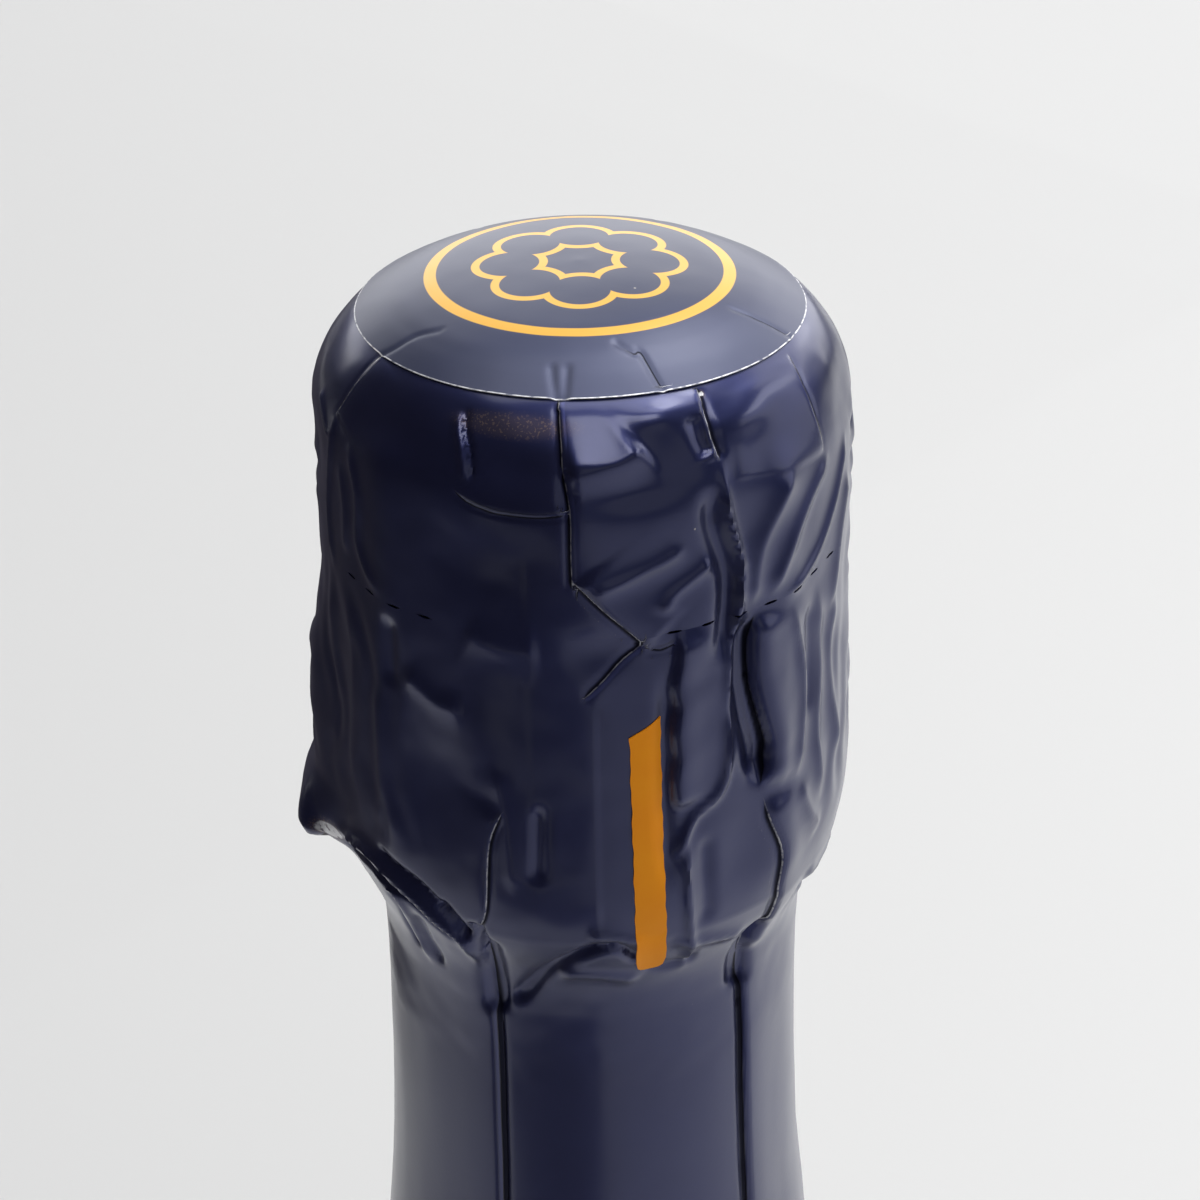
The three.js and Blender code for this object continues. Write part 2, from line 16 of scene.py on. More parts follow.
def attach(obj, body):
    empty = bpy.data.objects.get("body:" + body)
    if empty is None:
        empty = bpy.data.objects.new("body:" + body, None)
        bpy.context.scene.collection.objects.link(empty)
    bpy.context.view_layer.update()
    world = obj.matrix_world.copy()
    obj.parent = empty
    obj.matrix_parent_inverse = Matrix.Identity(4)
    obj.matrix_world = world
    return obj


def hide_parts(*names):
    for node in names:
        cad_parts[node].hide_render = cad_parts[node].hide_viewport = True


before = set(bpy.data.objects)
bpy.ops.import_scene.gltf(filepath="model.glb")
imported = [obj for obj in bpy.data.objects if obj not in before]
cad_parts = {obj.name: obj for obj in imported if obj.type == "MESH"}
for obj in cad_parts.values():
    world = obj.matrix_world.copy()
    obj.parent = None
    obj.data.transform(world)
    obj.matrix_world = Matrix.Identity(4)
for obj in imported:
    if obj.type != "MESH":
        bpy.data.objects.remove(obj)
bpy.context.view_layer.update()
scene = bpy.context.scene
MM = 0.001

# %% [markdown]
# ## Camera
#
# The picture was taken from close above: the camera looks down by about 33 degrees onto the head. Its
# place, tilt and lens were found by matching the head's outline. A Track To constraint could aim it, but it
# can't give the small roll, so the three axes are worked out from the angles.

# %% Camera
CAMERA_PLACE = Vector((0, -153.2, 393.4)) * MM
PITCH, ROLL, YAW = (math.radians(a) for a in (32.64, -0.87, 0.35))
LENS = 82.68

bpy.ops.object.camera_add(location=CAMERA_PLACE)
camera = bpy.context.object
camera.name = "camera"
camera.data.lens = LENS
camera.data.clip_start = 0.01
forward = Vector((math.sin(YAW) * math.cos(PITCH), math.cos(YAW) * math.cos(PITCH), -math.sin(PITCH)))
level = Vector((math.cos(YAW), -math.sin(YAW), 0))
upright = level.cross(forward)
right = math.cos(ROLL) * level + math.sin(ROLL) * upright
up = -math.sin(ROLL) * level + math.cos(ROLL) * upright
camera.rotation_euler = Matrix((right, up, -forward)).transposed().to_euler()
scene.camera = camera
print("camera height above the floor in mm:", round(camera.location.z / MM, 1))

# %% [markdown]
# ## Light
#
# Satin foil is read by its reflections, so the light is made of large soft panels and not of lamps. A long
# low wall behind the bottle whitens the top disc and the floor, panels above it and overhead light the
# shoulder, and those on the right brighten that side. Two panels in front lift the faces of the folds. The
# left stays dark, which gives the navy its depth.

# %% Light
def add_panel(name, place, target, size, power):
    """A soft rectangular light that faces a point."""
    bpy.ops.object.light_add(type="AREA", location=place)
    panel = bpy.context.object
    panel.name = name
    panel.data.shape = "RECTANGLE"
    panel.data.size, panel.data.size_y = size
    panel.data.energy = power
    panel.visible_camera = False
    facing = Vector(target) - Vector(place)
    panel.rotation_euler = facing.to_track_quat("-Z", "Y").to_euler()


HEAD = (0, 0, 0.3)
DISC = (0, 0, 0.32)
add_panel("back_wall", (0, 1.3, 0.55), HEAD, (3.0, 0.7), 14.2)
add_panel("back_right", (0.9, 0.8, 0.9), (0, 0.3, 0.2), (0.8, 0.8), 4.0)
add_panel("back_high_left", (-0.3, 1.0, 1.1), DISC, (0.7, 0.5), 1.4)
add_panel("back_high_right", (0.35, 0.5, 1.2), DISC, (0.4, 0.4), 3.8)
add_panel("overhead", (0, 0.15, 1.2), HEAD, (0.9, 0.5), 3.2)
add_panel("overhead_right", (0.3, 0.15, 1.2), HEAD, (0.4, 0.5), 0.8)
add_panel("right_low", (0.85, -0.05, 0.4), HEAD, (0.7, 0.4), 1.0)
add_panel("right_floor", (0.5, 0.05, 0.5), (0.45, 0.02, 0), (0.3, 0.3), 0.9)
add_panel("front_right", (0.15, -0.45, 1.05), HEAD, (0.4, 0.4), 2.5)
add_panel("front_low", (0.3, -0.9, 0.42), HEAD, (0.8, 0.35), 0.35)

# %% World
world = bpy.data.worlds.new("studio")
scene.world = world
world.use_nodes = True
sky = world.node_tree.nodes["Background"]
sky.inputs["Color"].default_value = (0.9, 0.95, 1.0, 1)
sky.inputs["Strength"].default_value = 0.02
scene.view_settings.view_transform = "Standard"
print("world strength:", round(sky.inputs["Strength"].default_value, 3))

# %% [markdown]
# ## Floor
#
# The floor is a wide sheet of pale paper, bright enough to read as white under the panels. It could be
# curved up into a backdrop, but seen from above it fills the whole picture, so a flat plane is enough.

# %% Floor
def new_material(name):
    """A node material, its node tree and its Principled shader."""
    material = bpy.data.materials.new(name)
    material.use_nodes = True
    return material, material.node_tree, material.node_tree.nodes["Principled BSDF"]


def connect(tree, node, sockets):
    """Fill a node's inputs, by name or number, with links or plain values."""
    for key, value in sockets.items():
        if isinstance(value, bpy.types.NodeSocket):
            tree.links.new(value, node.inputs[key])
        else:
            node.inputs[key].default_value = value


def give(piece, *materials):
    """Make these the piece's only materials."""
    piece.data.materials.clear()
    for material in materials:
        piece.data.materials.append(material)


bpy.ops.object.select_all(action="DESELECT")
bpy.ops.mesh.primitive_plane_add(size=8)
floor = bpy.context.object
floor.name = "floor"
pale_paper, tree, shader = new_material("pale_paper")
connect(tree, shader, {"Base Color": (0.7, 0.7, 0.7, 1), "Roughness": 0.9})
give(floor, pale_paper)
print("floor in m:", [round(side, 1) for side in floor.dimensions[:2]])

# %% [markdown]
# ## Dark screens
#
# A photographer stands black cards beside the camera to keep a pale room out of shiny metal. Three upright
# screens and two cloths on the floor do that here. Only reflections see them: they cast no shadow and stay
# out of the picture, which a real card could not.

# %% Dark screens
black_cloth, tree, shader = new_material("black_cloth")
connect(tree, shader, {"Base Color": (0.06, 0.055, 0.068, 1), "Roughness": 1, "Specular IOR Level": 0})


def add_screen(name, size, place, tilt, turn):
    """A black screen that only reflections see, lying flat or tilted up and turned by degrees."""
    bpy.ops.object.select_all(action="DESELECT")
    bpy.ops.mesh.primitive_plane_add(size=1)
    screen = bpy.context.object
    screen.name = name
    screen.scale = (*size, 1)
    screen.location = place
    screen.rotation_euler = (math.radians(tilt), 0, math.radians(turn))
    screen.visible_camera = screen.visible_shadow = screen.visible_diffuse = False
    give(screen, black_cloth)
    print(name, "of", size, "m")


add_screen("front_screen", (0.3, 0.9), (-0.15, -0.42, 0.45), 90, 0)
add_screen("left_screen", (0.54, 0.64), (-0.3, -0.15, 0.38), 90, 90)
add_screen("back_left_screen", (0.8, 0.42), (-0.85, 1.0, 0.21), 90, 40)
add_screen("front_cloth", (0.5, 0.14), (-0.23, -0.29, 0.001), 0, 0)
add_screen("left_cloth", (1.3, 0.8), (-0.5, 0.5, 0.001), 0, 45)

# %% [markdown]
# ## Spinning a profile
#
# Bottle, cork, plaque and foil are all round, so one tool makes them: a single vertex is extruded along an
# outline of radius and height, and a Screw modifier spins the line about the upright axis. A lathed curve
# would do as well, but a mesh lets the foil be spun in fine steps in front, where the camera is close, and
# in coarser ones behind.

# %% Lines
def curve_through(points, spacing):
    """Points about every `spacing` on a smooth line through the given ones."""
    p = np.array(points, float)
    p = np.vstack([2 * p[0] - p[1], p, 2 * p[-1] - p[-2]])
    line = []
    for a, b, c, d in zip(p, p[1:], p[2:], p[3:]):
        count = max(1, round(np.linalg.norm(c - b) / spacing))
        t = (np.arange(count) / count)[:, None]
        square, cube = 2 * a - 5 * b + 4 * c - d, 3 * b - a - 3 * c + d
        line.append(0.5 * (2 * b + (c - a) * t + square * t**2 + cube * t**3))
    return np.vstack([*line, p[-2]])


def bend(start, start_pull, end_pull, end, steps):
    """Points on a cubic Bezier line."""
    t = np.linspace(0, 1, steps + 1)[:, None]
    a, b, c, d = (np.array(p, float) for p in (start, start_pull, end_pull, end))
    return a * (1 - t) ** 3 + 3 * b * t * (1 - t) ** 2 + 3 * c * t**2 * (1 - t) + d * t**3


def on_round(radius, height, degrees):
    """A point by radius, height and the angle from the front, positive to the right."""
    turn = np.radians(degrees)
    return np.stack(np.broadcast_arrays(radius * np.sin(turn), -radius * np.cos(turn), height), axis=-1)


def line_through(path):
    """Extrude one vertex from point to point, in mm."""
    path = [Vector(p) * MM for p in path]
    bpy.ops.object.select_all(action="DESELECT")
    bpy.ops.mesh.primitive_plane_add(size=MM)
    bpy.ops.object.mode_set(mode="EDIT")
    bpy.ops.mesh.select_mode(type="VERT")
    bpy.ops.mesh.select_all(action="SELECT")
    bpy.ops.mesh.merge(type="CENTER")
    bpy.ops.transform.translate(value=path[0])
    for a, b in zip(path, path[1:]):
        bpy.ops.mesh.extrude_region_move(TRANSFORM_OT_translate={"value": b - a})
    bpy.ops.object.mode_set(mode="OBJECT")
    return bpy.context.object


# %% Spin tool
def apply(piece, kind, **settings):
    """Add a modifier with these settings and apply it."""
    bpy.context.view_layer.objects.active = piece
    modifier = piece.modifiers.new(kind.lower(), kind)
    for name, value in settings.items():
        setattr(modifier, name, value)
    bpy.ops.object.modifier_apply(modifier=modifier.name)


def joined(name, sections):
    """Join objects into one piece."""
    bpy.ops.object.select_all(action="DESELECT")
    for section in sections:
        section.select_set(True)
    bpy.context.view_layer.objects.active = sections[0]
    if len(sections) > 1:
        bpy.ops.object.join()
    sections[0].name = sections[0].data.name = name
    return sections[0]


def spun(name, outline, sweeps, start=0):
    """Spin an outline of (radius, height) in mm round the axis, in one or more sweeps of (degrees, steps)."""
    outline = np.array(outline, float)
    sections = []
    for degrees, steps in sweeps:
        section = line_through(on_round(outline[:, 0], outline[:, 1], start))
        apply(section, "SCREW", angle=math.radians(degrees), steps=steps, render_steps=steps)
        sections.append(section)
        start += degrees
    piece = joined(name, sections)
    bpy.ops.object.mode_set(mode="EDIT")
    bpy.ops.mesh.select_all(action="SELECT")
    bpy.ops.mesh.remove_doubles(threshold=2e-6)
    bpy.ops.mesh.normals_make_consistent(inside=False)
    bpy.ops.object.mode_set(mode="OBJECT")
    return piece


# %% [markdown]
# ## Moving and painting vertices
#
# Folds are pressed into a spun sheet by moving its vertices, as a sculpting brush does. Strokes in code can
# be repeated, which a brush's can't. These helpers read and write the vertices in millimetres and keep
# painted values for the materials.

# %% Vertex tools
def places(piece):
    """The piece's vertices in mm."""
    flat = np.empty(len(piece.data.vertices) * 3)
    piece.data.vertices.foreach_get("co", flat)
    return flat.reshape(-1, 3) / MM


def move_to(piece, points):
    """Put the piece's vertices at these points, in mm."""
    piece.data.vertices.foreach_set("co", (points * MM).ravel())
    piece.data.update()


def round_places(points):
    """Radius from the axis and angle in degrees from the front."""
    return np.hypot(points[:, 0], points[:, 1]), np.degrees(np.arctan2(points[:, 0], -points[:, 1]))


def paint(piece, layers):
    """Keep named values for each vertex, for the material to read."""
    for name, values in layers.items():
        attribute = piece.data.attributes.new(name, "FLOAT", "POINT")
        attribute.data.foreach_set("value", values.astype(np.float32))


# %% Finishing tools
def soften(piece, degrees):
    """Smooth shading, with edges sharper than this angle kept."""
    bpy.ops.object.select_all(action="DESELECT")
    piece.select_set(True)
    bpy.context.view_layer.objects.active = piece
    bpy.ops.object.shade_smooth_by_angle(angle=math.radians(degrees))


def settle(piece, body, node):
    """Let a finished piece ride a body and stand for a CAD node."""
    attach(piece, body)
    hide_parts(node)
    print(piece.name, "rides", body, "with", len(piece.data.polygons), "faces")

# %% [markdown]
# ## Building materials from nodes
#
# Every finish here is procedural: it is worked out from a point's place on the piece, so nothing has to be
# unwrapped or painted as a picture. Small helpers keep the node code short. One adds a node and fills its
# sockets, others do a sum, mix by a mask or raise a bump.

# %% Node tools
def add(tree, kind, *values, inputs=None, **settings):
    """Add a shader node, set its properties, and fill its inputs in order and by name."""
    node = tree.nodes.new("ShaderNode" + kind)
    for name, value in settings.items():
        setattr(node, name, value)
    connect(tree, node, {**dict(enumerate(values)), **(inputs or {})})
    return node


def object_place(tree):
    """The object's own coordinates, in metres."""
    return add(tree, "TexCoord").outputs["Object"]


def calc(tree, operation, *values):
    """The result of a Math node."""
    return add(tree, "Math", *values, operation=operation).outputs[0]


def between(tree, value, low, high):
    """0 where a value is at low, 1 where it is at high and a smooth rise between."""
    return add(tree, "MapRange", value, low, high, interpolation_type="SMOOTHSTEP").outputs[0]


def blend_value(tree, mask, first, second):
    """The first number where the mask is 0 and the second where it is 1."""
    return add(tree, "MapRange", mask, 0.0, 1.0, first, second).outputs[0]


def blend_colour(tree, mask, first, second):
    """The first colour where the mask is 0 and the second where it is 1."""
    return add(tree, "Mix", inputs={0: mask, 6: first, 7: second}, data_type="RGBA").outputs[2]


def mottled(tree, where, scale, detail):
    """A noise from 0 to 1."""
    return add(tree, "TexNoise", inputs={"Vector": where, "Scale": scale, "Detail": detail}).outputs["Fac"]


def bumped(tree, height, strength, depth):
    """A normal tilted by a height, with the depth in mm."""
    inputs = {"Strength": strength, "Distance": depth * MM, "Height": height}
    return add(tree, "Bump", inputs=inputs).outputs[0]


# %% [markdown]
# What several materials share becomes a node group. It is built once, with named inputs and outputs, and
# each material places it with its own values.

# %% Group tools
SOCKET_KINDS = {"VALUE": "NodeSocketFloat", "VECTOR": "NodeSocketVector", "RGBA": "NodeSocketColor"}


def start_group(name, inputs):
    """A node group with these inputs and their usual values, and the sockets that give them."""
    tree = bpy.data.node_groups.new(name, "ShaderNodeTree")
    for label, value in inputs.items():
        kind = SOCKET_KINDS["VECTOR" if isinstance(value, tuple) else "VALUE"]
        tree.interface.new_socket(name=label, in_out="INPUT", socket_type=kind).default_value = value
    return tree, tree.nodes.new("NodeGroupInput").outputs


def end_group(tree, results):
    """Give the group an output for each result."""
    for label, value in results.items():
        tree.interface.new_socket(name=label, in_out="OUTPUT", socket_type=SOCKET_KINDS[value.type])
    connect(tree, tree.nodes.new("NodeGroupOutput"), results)
    print("node group", tree.name, "gives", ", ".join(results))


def use_group(tree, group, inputs=None):
    """Place a group, with links or values for some of its inputs, and give its outputs."""
    node = tree.nodes.new("ShaderNodeGroup")
    node.node_tree = group
    connect(tree, node, inputs or {})
    return node.outputs


# %% [markdown]
# ## Navy lacquer on aluminium
#
# The foil is aluminium under a satin navy lacquer, so it is mostly a dark blue metal with a clear coat. A
# slow cloud shifts its depth, dust sits on it in single specks, and a fine grain keeps the gloss soft. The
# specks are cells of a Voronoi texture: one cell in five holds one.

# %% Lacquer detail
LACQUER_SCALES = {"Cloud Scale": 110.0, "Grain Scale": 2300.0, "Scuff Scale": 6500.0, "Dust Scale": 300.0}

lacquer_detail, given = start_group("lacquer_detail", LACQUER_SCALES)
where = object_place(lacquer_detail)
cloud = mottled(lacquer_detail, where, given["Cloud Scale"], 3)
grain = mottled(lacquer_detail, where, given["Grain Scale"], 2)
scuff = mottled(lacquer_detail, where, given["Scuff Scale"], 1)
speck = add(lacquer_detail, "TexVoronoi", inputs={"Vector": where, "Scale": given["Dust Scale"]})
chance = add(lacquer_detail, "SeparateColor", speck.outputs["Color"]).outputs[0]
spot = between(lacquer_detail, speck.outputs["Distance"], 0.035, 0.015)
dust = calc(lacquer_detail, "MULTIPLY", calc(lacquer_detail, "GREATER_THAN", chance, 0.8), spot)
fine = bumped(lacquer_detail, grain, strength=0.12, depth=0.03)
end_group(lacquer_detail, {"Cloud": cloud, "Grain": grain, "Scuff": scuff, "Dust": dust, "Normal": fine})

# %% [markdown]
# ## The printed mark
#
# A plain ring round a rosette of eight small circles is printed on the disc in warm yellow. It could be cut
# out of the mesh, but ink has no height. Its lines are found from the distance to those circles, so they
# keep one width, and folding the angle draws all eight with one circle.

# %% Rosette
PETALS, RING_EXTRA, INK_EDGE = 8, 0.12, 0.04
MARK_SIZES = {"Ring Radius": 9.2, "Petal Place": 4.3, "Petal Radius": 2.1, "Half Line": 0.26}


def flat_length(tree, x, y):
    """The length of a flat vector."""
    return calc(tree, "SQRT", calc(tree, "ADD", calc(tree, "MULTIPLY", x, x), calc(tree, "MULTIPLY", y, y)))


def distance_to(tree, value, target):
    """How far a value is from another, either way."""
    return calc(tree, "ABSOLUTE", calc(tree, "SUBTRACT", value, target))


rosette, given = start_group("printed_rosette", MARK_SIZES)
axes = add(rosette, "SeparateXYZ", object_place(rosette)).outputs
x, y = (calc(rosette, "DIVIDE", axes[k], MM) for k in (0, 1))
radius = flat_length(rosette, x, y)
folded = calc(rosette, "PINGPONG", calc(rosette, "ARCTAN2", y, x), math.pi / PETALS)
along = calc(rosette, "MULTIPLY", radius, calc(rosette, "COSINE", folded))
across = calc(rosette, "MULTIPLY", radius, calc(rosette, "SINE", folded))
petal = flat_length(rosette, calc(rosette, "SUBTRACT", along, given["Petal Place"]), across)
to_petal = distance_to(rosette, petal, given["Petal Radius"])
to_ring = calc(rosette, "SUBTRACT", distance_to(rosette, radius, given["Ring Radius"]), RING_EXTRA)
off_line = calc(rosette, "SUBTRACT", calc(rosette, "MINIMUM", to_ring, to_petal), given["Half Line"])
end_group(rosette, {"Mask": between(rosette, off_line, INK_EDGE, -INK_EDGE)})

# %% [markdown]
# ## Seams and wear
#
# The sheets carry four painted values: the distance to the nearest seam, the width of its gap, how bare its
# edge is and how rubbed the lacquer is. Painting the lines themselves would need far more vertices. A
# distance stays sharp between them, so seams come out as fine lines: painted shade in the gap, a bare edge
# and a step.

# %% Foil wear
foil_wear, given = start_group("foil_wear", {"Grain": 0.5, "Scuff": 0.5})
layers = ("seam", "gap", "bare", "worn")
seam, gap, bare, worn = (add(foil_wear, "Attribute", attribute_name=name).outputs["Fac"] for name in layers)


def masked(*masks):
    """The product of masks in the foil's wear."""
    result = masks[0]
    for mask in masks[1:]:
        result = calc(foil_wear, "MULTIPLY", result, mask)
    return result


depth = calc(foil_wear, "DIVIDE", seam, calc(foil_wear, "MAXIMUM", gap, 0.001))
below = between(foil_wear, seam, 0.02, -0.03)
# Painted shade: the strip beside a seam, on its lower side and as wide as its gap, is marked for darkening.
gap_shade = masked(between(foil_wear, depth, -1.9, -0.5), below, between(foil_wear, gap, 0.01, 0.08))
on_edge = masked(between(foil_wear, seam, -0.01, 0.015), between(foil_wear, seam, 0.085, 0.05))
chipped = masked(bare, between(foil_wear, given["Grain"], 0.25, 0.6))
torn = masked(between(foil_wear, worn, 1.1, 1.5), between(foil_wear, given["Grain"], 0.3, 0.5))
bare_metal = calc(foil_wear, "MAXIMUM", masked(on_edge, chipped), torn)
scuffed = masked(worn, between(foil_wear, given["Scuff"], 0.54, 0.66))
film = calc(foil_wear, "MINIMUM", masked(worn, 0.3), 0.4)
rubbed = calc(foil_wear, "MAXIMUM", film, masked(scuffed, 0.9))
lifted = masked(between(foil_wear, seam, -0.04, 0.04), between(foil_wear, seam, 0.4, 0.08))
step = masked(lifted, between(foil_wear, gap, 0.0, 0.08))
end_group(foil_wear, {"Gap Shade": gap_shade, "Bare": bare_metal, "Scuffed": scuffed, "Rubbed": rubbed, "Step": step})

# %% [markdown]
# ## Foil materials
#
# The side of the foil is glossier than its disc, so the same recipe makes two materials. Lacquer, ink,
# rubbing, dust, painted shade in the seam gaps and bare metal are laid over each other like coats of paint.

# %% Foil materials
DEEP_NAVY = (0.021, 0.025, 0.085, 1), (0.031, 0.038, 0.126, 1)
SATIN_NAVY = (0.032, 0.039, 0.09, 1), (0.044, 0.054, 0.118, 1)
YELLOW, ALUMINIUM = (0.9, 0.47, 0.02, 1), (0.78, 0.78, 0.8, 1)
DUST, RUBBED, SHADE = (0.5, 0.48, 0.45, 1), (0.2, 0.15, 0.15, 1), (0.003, 0.003, 0.006, 1)
FOIL_METAL, INK_METAL, FOIL_COAT, STEP_HEIGHT = 0.9, 0.1, 0.75, 0.06


def lacquered_foil(name, printed, tones, smooth, coat):
    """Navy foil under a coat, with its seams and rubbed patches, and the printed mark if wanted."""
    material, tree, shader = new_material(name)
    look = use_group(tree, lacquer_detail)
    wear = use_group(tree, foil_wear, {"Grain": look["Grain"], "Scuff": look["Scuff"]})
    colour, metal = blend_colour(tree, look["Cloud"], *tones), FOIL_METAL
    if printed:
        ink = use_group(tree, rosette)["Mask"]
        colour = blend_colour(tree, ink, colour, YELLOW)
        metal = blend_value(tree, ink, FOIL_METAL, INK_METAL)
    # Painted shade: the seam gaps are darkened almost to black and lose their clear coat.
    shade = calc(tree, "MULTIPLY", wear["Gap Shade"], 0.9)
    layers = ((wear["Rubbed"], RUBBED), (look["Dust"], DUST), (shade, SHADE), (wear["Bare"], ALUMINIUM))
    for mask, layer in layers:
        colour = blend_colour(tree, mask, colour, layer)
    matte = calc(tree, "MAXIMUM", look["Dust"], wear["Scuffed"])
    rough = calc(tree, "MAXIMUM", look["Cloud"], matte)
    uncoated = calc(tree, "MAXIMUM", calc(tree, "MAXIMUM", wear["Bare"], matte), wear["Gap Shade"])
    raised = {"Distance": STEP_HEIGHT * MM, "Height": wear["Step"], "Normal": look["Normal"]}
    sockets = {
        "Base Color": colour,
        "Metallic": metal,
        "Roughness": blend_value(tree, rough, smooth, smooth + 0.12),
        "Normal": add(tree, "Bump", inputs={"Strength": 1.0, **raised}).outputs[0],
        "Coat Weight": blend_value(tree, uncoated, FOIL_COAT, 0.0),
        "Coat Roughness": coat,
    }
    connect(tree, shader, sockets)
    print(name, "has", len(tree.nodes), "nodes")
    return material


navy_foil = lacquered_foil("navy_foil", False, DEEP_NAVY, smooth=0.36, coat=0.2)
printed_foil = lacquered_foil("printed_foil", True, SATIN_NAVY, smooth=0.46, coat=0.36)

# %% [markdown]
# ## Bare aluminium
#
# The back of the foil and its cut edge are bare. Rolling leaves fine streaks in aluminium. A wave texture
# would be too even, so a stretched noise varies the colour and the roughness.

# %% Bare aluminium
rolled_streaks, given = start_group("rolled_streaks", {"Stretch": (900.0, 900.0, 40.0)})
where = object_place(rolled_streaks)
rolled = add(rolled_streaks, "Mapping", where, inputs={"Scale": given["Stretch"]}).outputs[0]
streaks = mottled(rolled_streaks, rolled, 1, 3)
end_group(rolled_streaks, {"Streaks": between(rolled_streaks, streaks, 0.35, 0.65)})


def rolled_metal(name, dark, bright, metal):
    """Bare sheet with fine streaks along one direction."""
    material, tree, shader = new_material(name)
    streaks = use_group(tree, rolled_streaks)["Streaks"]
    colour, rough = blend_colour(tree, streaks, dark, bright), blend_value(tree, streaks, 0.5, 0.3)
    connect(tree, shader, {"Base Color": colour, "Roughness": rough, "Metallic": metal})
    print(name, "has", len(tree.nodes), "nodes")
    return material


bare_foil = rolled_metal("bare_aluminium", (0.68, 0.69, 0.71, 1), (0.86, 0.86, 0.88, 1), 1.0)
cut_edge = rolled_metal("cut_edge", (0.4, 0.4, 0.42, 1), (0.95, 0.94, 0.92, 1), 0.2)

# %% [markdown]
# ## The foil's outline
#
# The foil follows what it wraps: up the long neck, in a crimp out over the wire belt, up the cage's legs
# and over the edge of the plaque. A round disc closes the top. A perforated line parts the hood from the
# skirt, so they are two sheets. The rows lie close together on the head and far apart on the neck, where it
# is smooth.

# %% Outline of the foil
TEAR = 303.3
NECK_LINE = [(21.0, 212), (18.1, 225.7), (16.6, 234), (15.65, 243), (15.0, 250), (14.65, 258), (14.5, 265)]
CRIMP_LINE = [(14.5, 270.4), (14.62, 272.5), (14.95, 274.4), (15.65, 276.4), (16.5, 278.3), (17.2, 280.2)]
SIDE_LINE = [(17.52, 282.3), (17.6, 285), (17.4, 292), (17.15, 299), (17.08, TEAR)]
HOOD_LINE = [(17.08, TEAR), (17.04, 308), (17.0, 311.6), (16.82, 313.3), (16.45, 314.6), (15.95, 315.7)]
EDGE_LINE = [(15.3, 316.65), (14.6, 317.45), (13.95, 318.0), (13.2, 318.45), (12.2, 318.9)]
DISC_LINE = [(13.95, 318.2), (12.9, 319), (12.1, 319.55), (10.7, 320.35), (8.3, 321.2), (4, 321.85), (0, 322)]
NECK_ROWS, CRIMP_ROWS, SIDE_ROWS, HOOD_ROWS, DISC_ROWS = 3.5, 0.32, 0.38, 0.18, 0.28

neck = curve_through(NECK_LINE, NECK_ROWS)
crimp = curve_through([NECK_LINE[-1], *CRIMP_LINE], CRIMP_ROWS)
side = curve_through([CRIMP_LINE[-1], *SIDE_LINE], SIDE_ROWS)
skirt_outline = np.vstack([neck[:-1], crimp[:-1], side])
hood_outline = curve_through([*HOOD_LINE, *EDGE_LINE], HOOD_ROWS)
disc_outline = curve_through(DISC_LINE, DISC_ROWS)
foil_line = np.vstack([skirt_outline[:-1], hood_outline])
foil_slope = np.gradient(foil_line[:, 0], foil_line[:, 1])
print("foil rows:", len(skirt_outline), "skirt,", len(hood_outline), "hood,", len(disc_outline), "disc")


def foil_radius(height):
    """Radius of the smooth foil at a height."""
    return np.interp(height, foil_line[:, 1], foil_line[:, 0])


# %% [markdown]
# ## Creases, ridges and laps
#
# Foil keeps every push. Cloth simulation would crumple it anywhere, but here each fold has its place, so
# each is one stroke over the smooth foil, written as points of angle in degrees and height in mm, as a
# sculptor would draw it. A crease is pressed in, a ridge is pinched out, and a lap is the edge of a layer
# that lies over its neighbour. A stroke fades towards its ends.

# %% Soft steps
def soft_step(low, high, x):
    """0 at low, 1 at high and a smooth change between."""
    t = np.clip((x - low) / (high - low), 0, 1)
    return t * t * (3 - 2 * t)


def fade(along, share=0.18):
    """Full in the middle of a stroke, nothing at its ends."""
    return soft_step(0, share, along) * soft_step(0, share, 1 - along)


def below_disc(height):
    """1 on the side of the foil and 0 where the disc lies on it."""
    return soft_step(318.4, 317.2, height)


def turn_between(a, b):
    """Difference of two angles in degrees, from -180 to 180."""
    return (a - b + 180) % 360 - 180


# %% Stroke tools
STROKE_STEP = 1.2


def foil_path(stroke):
    """A stroke's points of angle and height as a line on the smooth foil."""
    drawn = curve_through(stroke, STROKE_STEP)
    return on_round(foil_radius(drawn[:, 1]), drawn[:, 1], drawn[:, 0])


def along_stroke(points, path, margin, up=0):
    """Points near a line: which they are, how far off, on which side (right is 1) and how far along."""
    near = np.all((points > path.min(0) - margin) & (points < path.max(0) + margin), axis=1)
    chosen = points[near]
    outward = chosen * (1, 1, 0) if not up else np.broadcast_to((0, 0, up), chosen.shape)
    best, side, along = np.full(len(chosen), np.inf), np.zeros(len(chosen)), np.zeros(len(chosen))
    lengths = np.linalg.norm(np.diff(path, axis=0), axis=1)
    done = 0.0
    for a, b, length in zip(path, path[1:], lengths):
        way = (b - a) / length
        t = np.clip((chosen - a) @ way, 0, length)
        off = chosen - a - t[:, None] * way
        distance = np.linalg.norm(off, axis=1)
        hand = np.einsum("ij,ij->i", np.cross(way, outward), off)
        closer = distance < best
        best[closer], side[closer] = distance[closer], np.sign(hand[closer])
        along[closer] = (done + t[closer]) / lengths.sum()
        done += length
    return near, best, side, along


# %% [markdown]
# ## Broad shapes
#
# First come the broad shapes: the knuckle of the twisted wire on the left, the four legs of the cage, the
# hollows between them, and rows of soft puckers where the foil was too wide for the collar. They are smooth
# bumps added up, so they need no stroke.

# %% Places of the broad shapes
LEG_ANGLES = (-135, -45, 45, 135)
LEG_PUSH, LEG_HALF_ANGLE = 0.3, 6
KNUCKLE_ANGLE, KNUCKLE_HEIGHT, KNUCKLE_PUSH, LOOP_PUSH = -89, 280.6, 2.3, 0.95
KNUCKLE_ABOVE, KNUCKLE_BELOW = 3.8, 1.4

